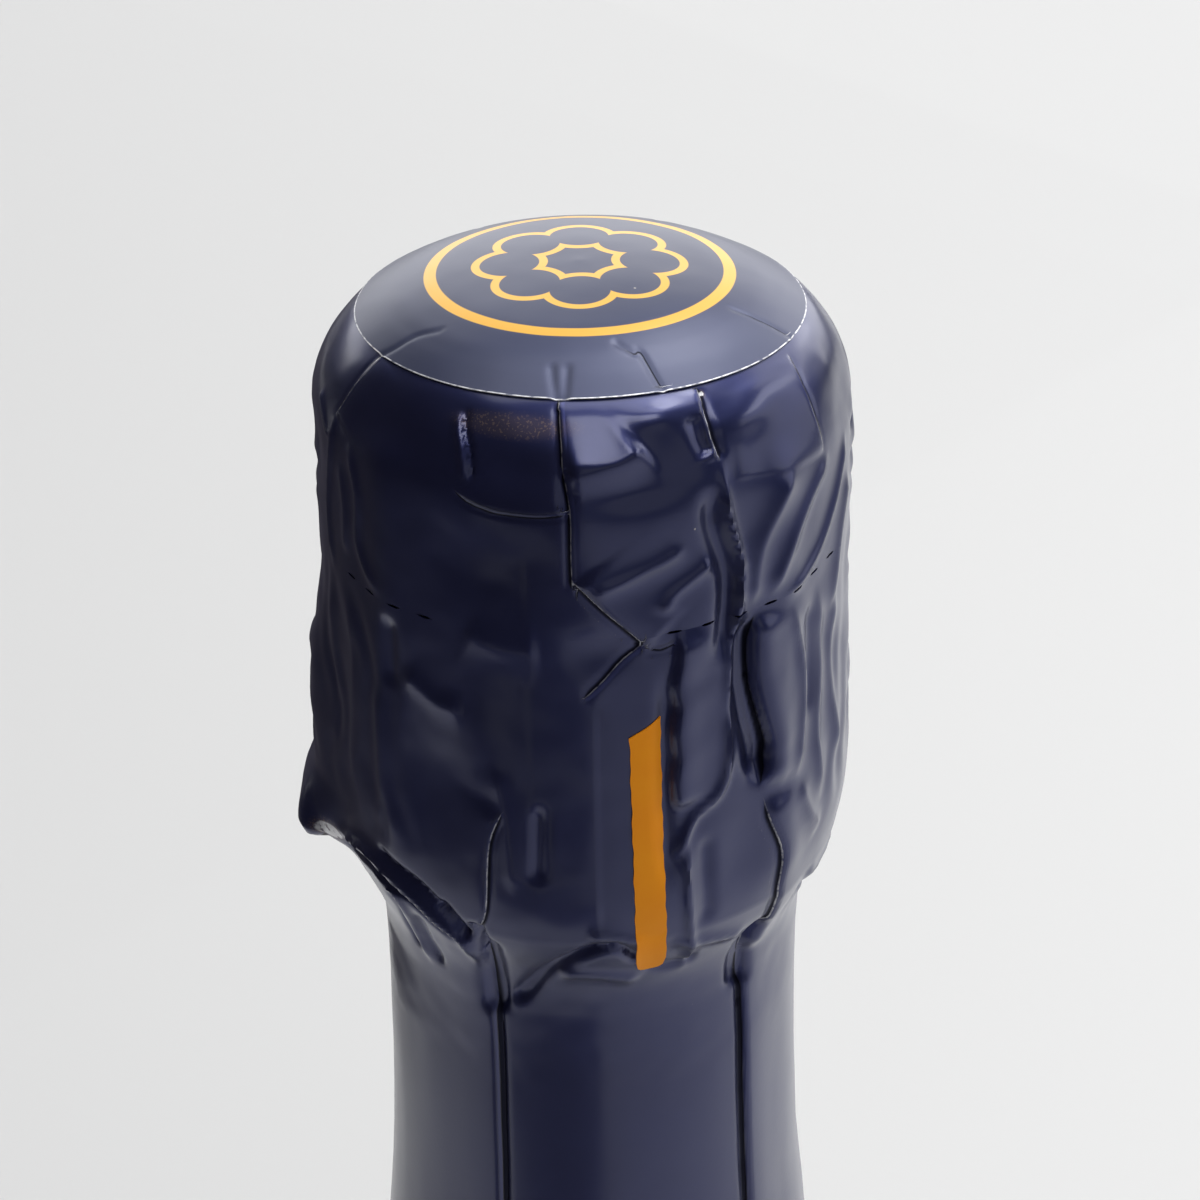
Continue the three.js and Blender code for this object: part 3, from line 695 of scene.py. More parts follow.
# depth, angle, height, half width, half height
HOLLOWS = [
    (0.3, -14, 314.4, 2.6, 1.7),
    (0.5, 10, 313.3, 3.2, 1.4),
    (-0.4, 17, 317.0, 2.0, 0.8),
    (-0.2, 44, 316.9, 2.6, 0.8),
    (0.25, 19, 315.0, 2.2, 1.2),
    (-0.3, 36, 316.1, 2.0, 0.8),
    (0.35, 43, 313.9, 3.4, 1.6),
    (0.3, -45, 315.2, 3.5, 1.5),
    (0.35, 4, 302.4, 2.4, 1.5),
    (0.3, -20, 308, 4.0, 3.2),
    (0.25, 14, 306.5, 2.5, 2.0),
    (0.35, 76, 313.5, 3.0, 2.0),
    (0.3, -80, 309, 3.0, 3.0),
    (0.35, -33, 292, 3.0, 3.5),
    (0.3, 33, 285, 2.0, 3.0),
    (0.4, 62, 296, 2.5, 4.0),
    (0.35, -70, 292, 2.5, 4.0),
    (0.3, 100, 309, 4.0, 3.5),
    (0.4, 118, 294, 3.5, 5.0),
    (0.35, 160, 312, 4.5, 2.2),
    (0.4, 175, 295, 4.0, 6.0),
    (0.35, 205, 307, 4.0, 4.0),
    (0.4, 245, 293, 3.5, 5.0),
]

# amplitude, wavelength, angle, half angle, lowest and highest height
PUCKERS_ROUND = [
    (0.07, 3.8, 66, 24, 283, 304),
    (0.07, 3.0, -58, 24, 284, 303),
    (0.12, 3.6, 150, 45, 283, 306),
    (0.12, 3.2, 228, 30, 283, 305),
    (0.1, 2.6, -60, 26, 274, 279),
    (0.1, 2.8, 66, 22, 274, 279),
    (0.12, 3.0, 180, 60, 273, 280),
]
PUCKERS_UP = [
    (0.17, 3.7, -90, 13, 284, 314),
    (0.12, 3.3, 88, 12, 284, 313),
    (0.08, 3.9, 200, 25, 284, 312),
]

# %% Broad shapes
def in_window(angle, height, at_angle, half, low, high):
    """1 inside a patch of the foil, falling off at its edges."""
    across = soft_step(half, half * 0.45, np.abs(turn_between(angle, at_angle)))
    return across * soft_step(low, low + 3, height) * soft_step(high, high - 3, height)


def knuckle_relief(angle, height):
    """How far the twisted wire on the left pushes the foil out, with a knuckle and a loop above it."""
    over_twist = soft_step(24, 6, np.abs(turn_between(angle, KNUCKLE_ANGLE)))
    rise = height - KNUCKLE_HEIGHT
    knuckle = KNUCKLE_PUSH * np.exp(-((rise / np.where(rise > 0, KNUCKLE_ABOVE, KNUCKLE_BELOW)) ** 2))
    loop = LOOP_PUSH * soft_step(277, 281, height) * soft_step(300, 292, height)
    return over_twist * np.maximum(knuckle, loop)


def broad_relief(points):
    """How far the legs, the knuckle, the hollows and the puckers move the foil."""
    radius, angle = round_places(points)
    height = points[:, 2]
    on_head = soft_step(280, 285, height) * soft_step(316.5, 312.5, height)
    legs = sum(np.exp(-((turn_between(angle, leg) / LEG_HALF_ANGLE) ** 2)) for leg in LEG_ANGLES)
    relief = LEG_PUSH * legs * on_head + knuckle_relief(angle, height)
    for depth, at_angle, at_height, wide, tall in HOLLOWS:
        across = np.radians(turn_between(angle, at_angle)) * radius / wide
        relief -= depth * np.exp(-(across**2) - ((height - at_height) / tall) ** 2)
    warp = np.array([noise.noise(Vector(p) / 5) for p in points])
    for amplitude, length, *patch in PUCKERS_ROUND:
        wave = np.sin(math.tau * (np.radians(angle) * radius / length + 0.8 * warp))
        relief += amplitude * in_window(angle, height, *patch) * wave
    for amplitude, length, *patch in PUCKERS_UP:
        wave = np.sin(math.tau * (height / length + 1.1 * warp)) * (0.7 + 1.6 * warp)
        relief += amplitude * in_window(angle, height, *patch) * wave
    return relief


print("broad shapes:", len(HOLLOWS), "hollows and", len(PUCKERS_ROUND + PUCKERS_UP), "rows of puckers")

# %% [markdown]
# ## Sharp folds
#
# Then the sharp folds. In front a flap ends in a torn corner above the tear line, on the right a long
# fold runs from the disc down to the neck, and two pleats take up the spare width of the foil on the
# neck. The back of the head has folds of the same kind. A real lap is a second layer. Here it is a step
# in one sheet, which stays closed.

# %% Ridges
# height above the foil, half width, points
RIDGES = [
    # the long fold on the right
    (0.5, 0.34, [(28.8, 314.5), (29.1, 311.6), (30.2, 309.8), (32.6, 307), (32.3, 304), (30.5, 300),
        (29.7, 295.6)]),
    (0.4, 0.3, [(29.9, 297), (29.6, 292.8), (27.4, 290.8), (21.5, 289.5), (19.3, 287.7), (16, 286.3)]),
    # the flap in front
    (0.7, 1.25, [(13, 315.9), (8, 315.1), (3, 314.75), (-1, 314.65), (-4.5, 314.4)]),
    (0.3, 0.6, [(0, 306.4), (5, 307.1), (10.8, 307.8), (15.9, 308.4), (21, 309.2)]),
    (0.3, 0.55, [(15.4, 304.5), (17.4, 305.8), (21.9, 306.8), (27.2, 307.8)]),
    # the right shoulder
    (0.4, 0.8, [(47, 312.4), (41.4, 309.8), (37.4, 307.5), (35.7, 304.8), (35.2, 303.2)]),
    (0.35, 0.65, [(61, 311.6), (49.7, 308.5), (43.7, 305.8), (39.4, 303.5)]),
    (0.3, 0.45, [(72, 311.4), (63.7, 307.1), (54.4, 304.4), (42.3, 303.2)]),
    (0.3, 0.6, [(74, 308), (68, 304), (63, 299)]),
    # the right side
    (0.32, 0.34, [(20, 288.4), (20.3, 285.5), (20.6, 283.1), (21.5, 280.5), (22.4, 278.2), (22, 275.2)]),
    (0.35, 0.5, [(46, 302.6), (49.5, 298.5), (50.6, 295.6), (49.3, 292), (47.6, 289)]),
    (0.3, 0.6, [(57, 302.4), (59.3, 296.5), (57, 291), (58.6, 285)]),
    (0.3, 0.6, [(66, 301), (65, 294), (68, 287)]),
    (0.3, 0.7, [(49, 288.6), (53, 285.5), (58, 283.4)]),
    # the left shoulder
    (0.24, 0.32, [(-28.4, 317.2), (-27.2, 316.2), (-25.8, 315.4), (-24.7, 314.4), (-24.2, 313.3)]),
    (0.22, 0.35, [(-62.5, 315), (-64.1, 311.9), (-66.6, 308.7), (-67.4, 305.7), (-66.5, 302)]),
    (0.2, 0.35, [(-74.5, 314.6), (-69, 313.4), (-64.5, 312.2)]),
    (0.22, 0.45, [(-56.5, 313.4), (-52.6, 310), (-53.4, 306.4), (-50, 304.6), (-45, 303.6)]),
    (0.16, 0.45, [(-60, 311.4), (-58.4, 308), (-59.5, 304.4)]),
    # the left side
    (0.22, 0.8, [(-41, 298.8), (-33, 297.4), (-26, 297.3)]),
    (0.2, 1.2, [(-26, 303.2), (-18, 302.4), (-9, 302.6)]),
    (0.18, 0.9, [(-60, 302), (-58, 296), (-61, 290), (-57, 285)]),
    (0.16, 0.8, [(-50, 297), (-48, 291), (-50, 285)]),
    (0.18, 0.8, [(-70, 301), (-68, 294), (-71, 287)]),
    (0.2, 0.7, [(-20, 294), (-17, 289.5), (-16, 284)]),
    # the crimp
    (0.6, 0.55, [(-73, 281), (-57, 282.5), (-47.8, 282.2), (-40.3, 281.2), (-34.9, 279.9), (-30, 278.6),
        (-27.4, 275.2)]),
    (0.32, 0.4, [(-58, 280.4), (-50, 280.2), (-47.6, 278.4), (-48.6, 275.6), (-46.6, 272.8)]),
    (0.3, 0.45, [(-1.5, 281), (4, 281), (9, 280.4), (12, 279.6)]),
    (0.35, 0.6, [(-9, 276.4), (-2, 276.6), (5, 276.2), (12, 275.4)]),
    (0.3, 0.5, [(17, 279.6), (24, 278.8), (31, 278.2), (38, 277.6)]),
    (0.3, 0.6, [(56, 279.5), (66, 278.5), (78, 279)]),
    # the back
    (0.35, 0.6, [(112, 314), (108, 305), (111, 296), (107, 286)]),
    (0.3, 0.5, [(152, 315), (149, 306), (153, 297), (150, 285)]),
    (0.35, 0.6, [(190, 313), (194, 303), (189, 293), (192, 284)]),
    (0.3, 0.6, [(222, 315), (218, 306), (223, 295), (219, 285)]),
    (0.3, 0.5, [(248, 313), (252, 304), (247, 294)]),
    (0.35, 0.5, [(100, 278.6), (140, 277.8), (180, 278.5), (220, 277.9), (255, 279)]),
]

# %% Creases
# depth below the foil, half width, points
CREASES = [
    # the right side
    (0.5, 0.7, [(25.6, 313), (26.2, 310), (29.6, 306.4), (29.4, 303), (27.4, 300)]),
    (0.3, 0.5, [(24.4, 316.9), (25.2, 315.6), (26.4, 314.6)]),
    (0.9, 1.0, [(34.8, 303.4), (33.6, 300.9), (33.9, 298.4), (35.4, 295.5), (37.2, 292.9),
        (37.7, 291.1), (36.7, 289.8)]),
    (0.3, 0.6, [(53.4, 301.4), (54.6, 297), (53.4, 292.6)]),
    (0.3, 0.6, [(16.2, 301), (15.6, 296), (15.4, 291), (16.6, 284)]),
    (0.3, 0.6, [(24.4, 288), (24.6, 284), (25.4, 280.4)]),
    # the left side
    (0.24, 0.2, [(-27, 317.4), (-26, 316.4), (-24.3, 315.5), (-23.4, 314.5), (-23, 313.3)]),
    (0.3, 0.5, [(-10.4, 291.5), (-10.6, 288), (-10.9, 285)]),
    (0.25, 0.6, [(-44, 302.5), (-44.6, 297)]),
    # the crimp
    (0.8, 0.42, [(-71, 280), (-61, 281.2), (-53, 281.2), (-45, 280.5), (-38, 279.3), (-32, 277.6)]),
    (0.4, 0.3, [(-52, 283.7), (-44, 283.2), (-37, 282.2), (-31, 280.4)]),
    (0.8, 0.42, [(-34.5, 281.8), (-31.5, 280.8), (-28, 279)]),
    (0.7, 0.35, [(-26.6, 281.2), (-25.2, 280.2), (-24.6, 278.6), (-24.8, 276.8)]),
    (0.35, 0.45, [(-53, 279.4), (-53.4, 276.6), (-51, 273.6)]),
    (0.3, 0.45, [(-43.6, 279), (-44.4, 276.4), (-42.4, 273.4)]),
    (0.8, 0.5, [(6.6, 279.6), (1.7, 279.7), (-3, 278.8), (-7.5, 277.5), (-12, 276), (-16, 274.4),
        (-22, 272.2)]),
    (0.5, 0.35, [(3, 280.2), (7, 279.4), (10.9, 277.8)]),
    (0.3, 0.5, [(12.5, 277.2), (18, 276.6), (26, 277)]),
    (0.3, 0.5, [(54, 278.6), (62, 277.2), (72, 276.8)]),
    (0.9, 0.7, [(-23.4, 279.6), (-24.4, 277.6), (-25.4, 275), (-25.7, 271)]),
    (0.9, 0.7, [(44, 278), (42, 276.4), (40.6, 274.6), (42, 271)]),
    # the back
    (0.35, 0.4, [(110, 313), (106, 304), (109, 296)]),
    (0.35, 0.4, [(156, 314), (153, 306), (157, 298)]),
    (0.35, 0.4, [(226, 314), (222, 306), (227, 296)]),
]

# %% Laps
# rise of the upper layer, its reach, its hand, bareness of its edge, width of the gap beside it, points;
# the gap is a groove with painted shade in it
LAPS = [
    # the flap in front and its torn corner
    (0.18, 2.6, "left", 1.0, 0.1, [(-5.7, 318.1), (-4.6, 316), (-4.3, 314.6)]),
    (0.16, 2.6, "left", 0.5, 0.14, [(-4.4, 314.8), (-2.9, 312.3), (-2.9, 309), (-2.7, 306.6)]),
    (0.26, 2.4, "left", 0.8, 0.18, [(-2.6, 307.5), (3, 305.5), (7.9, 303.9), (12.6, 302.3)]),
    (0.12, 2.6, "left", 0.0, 0.12, [(-26.8, 313), (-24, 312.3), (-18, 311.8), (-10, 311.75), (-3.2, 312)]),
    (0.06, 1.0, "left", 0.5, 0.14, [(12.2, 302.9), (7, 301.7), (3, 300.4), (-0.9, 299.2)]),
    (0.05, 1.0, "left", 0.0, 0.12, [(11.6, 302.5), (15, 302.2), (18, 302.5)]),
    # the folds on the right
    (0.15, 1.2, "right", 0.8, 0.22, [(28.4, 318), (27.5, 316.8), (27.7, 315.6), (28.8, 314.2)]),
    (0.6, 1.8, "left", 0.0, 0.0, [(18.8, 303.4), (18.2, 301), (17.2, 299.5), (18, 298), (17, 296.2),
        (17.8, 294.4), (17, 292.6), (17.8, 290)]),
    (0.7, 2.0, "left", 0.0, 0.2, [(36.4, 303), (35.5, 300.6), (35.9, 298), (37.9, 295.2), (39.7, 293),
        (39.5, 291.3), (37.6, 289.9)]),
    (0.45, 2.4, "left", 0.6, 0.14, [(38.6, 289), (39.6, 287.4), (42.9, 284.4), (43.4, 281.4),
        (44.6, 278), (42, 276.2), (41.4, 274)]),
    # the pleats on the neck
    (0.45, 3.0, "left", 0.0, 0.28, [(42, 276.8), (41.4, 274.6), (43.6, 269.6), (44.6, 260.3),
        (45.6, 251.2), (46.5, 236), (46.5, 212)]),
    (0.22, 2.2, "right", 0.55, 0.14, [(-17.8, 290.6), (-21, 287.7), (-22.4, 282.3), (-26, 279.8)]),
    (0.45, 3.2, "right", 0.0, 0.28, [(-25.2, 279.2), (-26, 275), (-26.1, 270), (-25.9, 254), (-26, 236),
        (-26, 212)]),
    # short laps under the disc
    (0.14, 2.0, "left", 0.9, 0.1, [(-58.6, 318.2), (-59.5, 317.6), (-61.6, 315.4), (-63.4, 314.2)]),
    (0.12, 2.2, "right", 0.8, 0.1, [(59.4, 317.8), (57.4, 316.2), (57.3, 314.8), (58, 311.7)]),
    (0.06, 2.2, "right", 0.0, 0.0, [(59, 311.6), (50, 312), (40, 312.4), (31, 312.8)]),
    # the lip under the knuckle
    (0.8, 2.4, "left", 0.0, 0.3, [(-106, 279.2), (-96, 278.5), (-88, 278.3), (-82, 278.9), (-74, 280.6)]),
    # faint steps beside the strip
    (0.04, 1.5, "left", 0.0, 0.0, [(-12.3, 310), (-12.2, 300), (-12, 282.5)]),
    (0.04, 1.5, "right", 0.0, 0.0, [(1.8, 299), (1.9, 290), (2, 281)]),
    # the pleats behind
    (0.35, 3.0, "right", 0.0, 0.4, [(140, 284), (140, 275), (140, 262), (140, 240), (140, 212)]),
    (0.35, 3.0, "right", 0.0, 0.4, [(230, 284), (230, 275), (230, 262), (230, 240), (230, 212)]),
]
print("strokes:", len(RIDGES), "ridges,", len(CREASES), "creases,", len(LAPS), "laps")

# %% [markdown]
# ## Folding the strokes in
#
# All strokes add up to one relief, the distance by which each point of the foil moves outwards. A lap is a
# layer that rises past its edge and dies away, with a groove beside it, and it leaves a seam for the
# material. Nothing may sink into the glass or the wire, so the relief stops at the depth that they leave
# free.

# %% Seams
SEAM_REACH, SEAM_FADE = 0.8, (0.65, 0.4)


def no_seams(points):
    """Painted values for a sheet without seams."""
    return {"seam": np.ones(len(points)), "gap": np.zeros(len(points)), "bare": np.zeros(len(points))}


def mark_seam(seams, near, off, onto, shown, gap, bare):
    """Paint one seam where it is nearer than those before it."""
    where = np.flatnonzero(near)
    closer = off < np.minimum(np.abs(seams["seam"][where]), SEAM_REACH)
    where, held = where[closer], shown[closer] * soft_step(*SEAM_FADE, off[closer])
    seams["seam"][where] = onto[closer]
    seams["gap"][where] = gap * held
    seams["bare"][where] = bare * held


# %% Relief of the foil
RIDGE_POWER, CREASE_POWER = 1.4, 2
LAP_EDGE, GROOVE_EDGE = 0.1, 0.18
# heights, and the depth that the glass and the wire leave free under the foil there
FREE_DEPTH = ([212, 274, 278, 281, 285], [0.42, 0.42, 0.9, 0.8, 0.7])


def lap_relief(onto, rise, reach, gap):
    """A layer that rises past its edge and dies away, with a groove before the edge."""
    edge = LAP_EDGE + 0.4 * rise
    layer = soft_step(-edge, edge, onto) * np.exp(-((np.maximum(onto, 0) / reach) ** 2))
    groove = np.exp(-(((onto + 0.6 * gap) / (0.5 * gap + GROOVE_EDGE)) ** 2))
    return rise * layer - 0.7 * gap * groove


def foil_relief(points):
    """How far each point of the smooth foil is pushed out, and the seams beside it for the material."""
    relief, seams = broad_relief(points), no_seams(points)
    for size, width, stroke in RIDGES:
        near, off, _, along = along_stroke(points, foil_path(stroke), 5 * width)
        relief[near] += size * np.exp(-((off / width) ** RIDGE_POWER)) * fade(along)
    for size, width, stroke in CREASES:
        near, off, _, along = along_stroke(points, foil_path(stroke), 3 * width)
        relief[near] -= size * np.exp(-((off / width) ** CREASE_POWER)) * fade(along)
    for rise, reach, hand, bare, gap, stroke in LAPS:
        near, off, side, along = along_stroke(points, foil_path(stroke), 2.5 * reach)
        onto = off * side * (1 if hand == "right" else -1)
        shown = fade(along, 0.1)
        relief[near] += lap_relief(onto, rise, reach, gap) * shown
        if gap:
            mark_seam(seams, near, off, onto, shown, gap, bare)
    relief = np.maximum(relief, -np.interp(points[:, 2], *FREE_DEPTH))
    return relief * below_disc(points[:, 2]), seams

# %% [markdown]
# ## Slits, wear and a pressed top
#
# Along the tear line the hood and the skirt part in short slits, and handling has rubbed the lacquer off in
# a few places. Handling has also pressed the top of the closure a little flat and tipped it back. Every
# piece there went with it, so one tool moves them all, and they still fit.

# %% Slits and rubbed patches
SLITS, SLIT_HEIGHT = 48, 0.09
SLIT_SPANS = [(-60, -33), (16, 66), (95, 265)]
# angle, height, half width, half height and strength of rubbed patches: above 1 the metal is bare
RUBS = [(-15.5, 316.8, 3.6, 0.6, 1), (-73, 280.9, 1.3, 0.7, 2), (28.9, 317.7, 0.2, 0.14, 2)]


def slit_opening(angle):
    """How far the tear line opens at an angle."""
    phase = (angle * SLITS / 360) % 1
    torn = sum(((angle % 360 - low) % 360 < high - low).astype(float) for low, high in SLIT_SPANS)
    return SLIT_HEIGHT * torn * soft_step(0.15, 0.25, phase) * soft_step(0.6, 0.5, phase)


def rubbed_patches(points):
    """How rubbed the lacquer is at each point."""
    radius, angle = round_places(points)
    worn = np.zeros(len(points))
    for at_angle, at_height, wide, tall, strength in RUBS:
        across = np.radians(turn_between(angle, at_angle)) * radius / wide
        patch = soft_step(1.3, 0.5, np.hypot(across, (points[:, 2] - at_height) / tall))
        worn = np.maximum(worn, strength * patch)
    return worn


def crumple(points):
    """Fine unevenness of handled foil, in mm."""
    soft = np.array([noise.noise(Vector(p) / 6.0) for p in points])
    fine = np.array([noise.noise(Vector(p) / 1.8 + Vector((7, 3, 1))) for p in points])
    return 0.09 * soft + 0.025 * fine


# %% Pressed top
PRESS_SPAN = (305, 317)
TOP_DROP, TOP_TIP, CROWN_DROP = 1.1, 0.06, 0.9


def press_down(piece):
    """Lower the top of a piece of the closure, more behind than in front and most at the crown."""
    points = places(piece)
    height, behind = points[:, 2], points[:, 1]
    tipped = soft_step(*PRESS_SPAN, height) * (TOP_DROP + TOP_TIP * behind)
    edge, crown = DISC_LINE[0][1], DISC_LINE[-1][1]
    flattened = CROWN_DROP * np.clip((height - edge) / (crown - edge), 0, 1)
    points[:, 2] -= tipped + flattened
    move_to(piece, points)


# %% [markdown]
# ## Skirt and hood
#
# Both sheets use the same strokes, so a fold runs across the tear line as it does on the real foil. The
# sheets are folded while they are still one layer thick. Solidify then gives them their thickness and their
# bare back, so inside and outside keep the same folds.

# %% Make the skirt and the hood
FOIL_SWEEPS, FOIL_START = ((190, 280), (170, 90)), -95
FOIL_THICKNESS = 0.1


def fold_foil(piece):
    """Push the spun sheet into its folds, open its slits and paint its wear."""
    points = places(piece)
    radius, angle = round_places(points)
    relief, seams = foil_relief(points)
    relief += crumple(points) * below_disc(points[:, 2])
    slope = np.interp(points[:, 2], foil_line[:, 1], foil_slope)
    lean = 1 / np.sqrt(1 + slope**2)
    outward = np.stack([points[:, 0] / radius * lean, points[:, 1] / radius * lean, -slope * lean], axis=1)
    folded = points + relief[:, None] * outward
    on_line = np.abs(points[:, 2] - TEAR) < 0.01
    opening = slit_opening(angle) * np.sign(points[:, 2].mean() - TEAR)
    folded[:, 2] = np.where(on_line, TEAR + opening, folded[:, 2])
    move_to(piece, folded)
    paint(piece, {**seams, "worn": rubbed_patches(points)})


def thicken(piece, edge_material):
    """Give a sheet its thickness inwards, with its second material on the back, and smooth it."""
    settings = {"offset": -1, "material_offset": 1, "material_offset_rim": edge_material}
    apply(piece, "SOLIDIFY", thickness=FOIL_THICKNESS * MM, **settings)
    soften(piece, 60)


foil_skirt = spun("foil_skirt_sheet", skirt_outline, FOIL_SWEEPS, FOIL_START)
foil_hood = spun("foil_hood_sheet", hood_outline, FOIL_SWEEPS, FOIL_START)
for sheet in (foil_skirt, foil_hood):
    fold_foil(sheet)
    give(sheet, navy_foil, bare_foil)
    thicken(sheet, edge_material=0)
press_down(foil_hood)
settle(foil_skirt, "bottle", "foil_skirt")
settle(foil_hood, "foil_cap", "foil_hood")

# %% [markdown]
# ## Top disc
#
# A separate disc of the same foil is glued over the turned-in edge of the hood. It is pressed smooth, apart
# from a few creases where it was bent over the plaque, so it gets fewer strokes of its own. Its cut edge
# shows bare metal all round, which the painted seam draws as a fine line.

# %% Make the disc
# depth, half width, width of the line of painted shade, points of angle and distance from the middle
DISC_CREASES = [
    (0.1, 0.2, 0.0, [(-59, 14.2), (-56.7, 13.4), (-54.3, 12), (-49, 11)]),
    (0.12, 0.25, 0.0, [(-8.3, 12), (-7, 13.2), (-5.6, 14.3)]),
    (0.12, 0.25, 0.0, [(-3.9, 12), (-4, 13.2), (-4.2, 14.3)]),
    (0.12, 0.2, 0.07, [(11.4, 10.3), (15.7, 11.3), (17.6, 11.2), (18.6, 12.6), (19.8, 14.3)]),
    (0.08, 0.2, 0.06, [(59.7, 10.5), (63, 12.5), (65.3, 14.3)]),
    (0.1, 0.2, 0.0, [(150, 10), (154, 12), (158, 14.3)]),
    (0.1, 0.2, 0.05, [(215, 11), (212, 12.6), (214, 14.3)]),
]
EDGE_BAND = 0.3


def press_disc(piece):
    """Crease the disc and bare its cut edge."""
    points = places(piece)
    rows = disc_outline[np.argsort(disc_outline[:, 0])]
    sink, seams = np.zeros(len(points)), no_seams(points)
    for depth, width, gap, stroke in DISC_CREASES:
        line = curve_through(stroke, 0.6)
        path = on_round(line[:, 1], np.interp(line[:, 1], *rows.T), line[:, 0])
        near, off, side, along = along_stroke(points, path, 2, up=1)
        sink[near] += depth * np.exp(-((off / width) ** 2))
        if gap:
            mark_seam(seams, near, off, off * side, soft_step(0, 0.3, along), gap, 0)
    inward = DISC_LINE[0][0] - round_places(points)[0]
    at_edge = inward < EDGE_BAND
    seams["seam"][at_edge], seams["gap"][at_edge], seams["bare"][at_edge] = inward[at_edge], 0, 1
    paint(piece, seams)
    points[:, 2] += 0.6 * crumple(points) - sink
    move_to(piece, points)


foil_disc = spun("foil_disc_sheet", disc_outline, FOIL_SWEEPS, FOIL_START)
press_disc(foil_disc)
give(foil_disc, printed_foil, cut_edge)
thicken(foil_disc, edge_material=1)
press_down(foil_disc)
settle(foil_disc, "foil_cap", "foil_top_disc")

# %% [markdown]
# ## Tear strip
#
# An orange strip of film lies on the skirt and is pulled to open the foil. Its top is cut at a slant and
# its lower end is rounded and hangs just clear of the crimp. Shrinkwrap could lay it on the foil, but it
# would also pull the free end in, so the strip reads the same relief as the foil and keeps a small
# clearance.

# %% Shape the strip
STRIP_TOP, STRIP_SLANT, STRIP_END, STRIP_HALF = 296.8, 1.15, 277.4, 0.98
STRIP_PLACE = ((3.44, STRIP_TOP), (3.82, STRIP_END))
STRIP_CLEAR, STRIP_HANG, STRIP_THICKNESS = 0.12, 280.6, 0.08

bpy.ops.object.select_all(action="DESELECT")
bpy.ops.mesh.primitive_grid_add(x_subdivisions=12, y_subdivisions=110, size=2)
tear_strip = bpy.context.object
tear_strip.name = tear_strip.data.name = "tear_strip_film"
grid = places(tear_strip) * MM
across, down = grid[:, 0], (1 - grid[:, 1]) / 2
top = STRIP_TOP + STRIP_SLANT / 2 * across
height = top + (STRIP_END + 1.0 * (1 - np.sqrt(1 - across**4)) - top) * down
middle = np.interp(-height, [-z for _, z in STRIP_PLACE], [x for x, _ in STRIP_PLACE])
wave = 1 + 0.025 * np.sin(height * 1.7) + 0.02 * np.sin(height * 4.1)
sideways = middle + STRIP_HALF * across * wave
on_foil = np.maximum(height, STRIP_HANG)
turn = np.degrees(np.arcsin(sideways / foil_radius(on_foil)))
relief, _ = foil_relief(on_round(foil_radius(on_foil), on_foil, turn))
hang = np.maximum(STRIP_HANG - height, 0)
radius = foil_radius(on_foil) + relief + STRIP_CLEAR - 0.07 * hang**2
move_to(tear_strip, on_round(radius, height, turn))
print("strip length in mm:", round(float(np.ptp(height)), 1))

# %% Finish the strip
orange_film, tree, shader = new_material("orange_film")
mottle = mottled(tree, object_place(tree), 420, 4)
colour = blend_colour(tree, mottle, (0.95, 0.29, 0.002, 1), (1.0, 0.36, 0.005, 1))
rough = blend_value(tree, mottle, 0.42, 0.56)
connect(tree, shader, {"Base Color": colour, "Roughness": rough, "Specular IOR Level": 0.2})
give(tear_strip, orange_film)
apply(tear_strip, "SOLIDIFY", thickness=STRIP_THICKNESS * MM, offset=-1)
soften(tear_strip, 60)
settle(tear_strip, "tear_tab", "tear_strip")

# %% [markdown]
# ## Glass bottle
#
# The bottle is blown from dark green glass in a mould of two halves. Its outline runs from the top of the
# punt down to the bearing ring, up the outside to the mouth and back down the inside, so the wall has a
# real and uneven thickness, which Solidify would not give. Two narrow sweeps at the sides carry the mould's
# seam, and short grooves mark the bearing ring.

# %% Outline of the glass
PUNT = bend((0, 34), (12.84, 34), (25.68, 0), (32.1, 0), 14)
RING = [(33.3, 0), (34.5, 0)]
HEEL = bend((35.7, 0), (41.37, 0), (44.2, 4), (44.2, 12), 10)
BODY = [(44.2, 30), (44.2, 55), (44.2, 85)]
SHOULDER = bend((44.2, 115), (44.2, 160), (15, 196), (13.9, 262), 26)
WIRE_GROOVE = [(13.9, 275.3), (13.75, 275.95), (13.3, 276.4), (13.12, 276.9), (13.12, 281), (13.4, 281.4)]
COLLAR = [(14.1, 281.5), (14.7, 281.8), (15, 282.7), (15, 289.3), (14.7, 290.2), (13.9, 290.5)]
CROWN = [(13.2, 290.6), (13, 291.1), (13, 293.8), (13.2, 294.3), (13.9, 294.5), (14.3, 295.4), (14.3, 297.5)]
LIP = [(13.9, 298.8), (13.1, 299.6), (11.9, 300), (10.6, 300), (9.5, 299.6), (8.9, 298.7)]
BORE = [(8.9, 285), (8.9, 272.5), (9.1, 268)]
CAVITY = bend((9.6, 262), (10.7, 196), (39.7, 155.5), (39.7, 110.5), 22)
INNER_HEEL = bend((39.7, 20), (39.7, 12), (37.58, 8), (36.1, 8), 8)
INNER_PUNT = bend((36.1, 8), (28.88, 8), (14.44, 42), (0, 42), 14)[1:]
outside = [*PUNT, *RING, *HEEL, *BODY, *SHOULDER, *WIRE_GROOVE, *COLLAR, *CROWN, *LIP]
inside = [*BORE, *CAVITY, *INNER_HEEL, *INNER_PUNT]
print("glass rows:", len(outside), "outside,", len(inside), "inside")

# %% Make the glass
GLASS_SWEEPS, GLASS_START = ((178, 120), (2, 4), (178, 120), (2, 4)), -89
SEAM_HEIGHT, SEAM_HALF_ANGLE = 0.14, 0.4
STIPPLES, STIPPLE_DEPTH, RING_MIDDLE = 60, 0.35, 33.9
# heights, and a radius inside the wall there
WALL = ([0, 20, 110, 200, 262, 300], [35.5, 42, 42, 15, 12, 12])

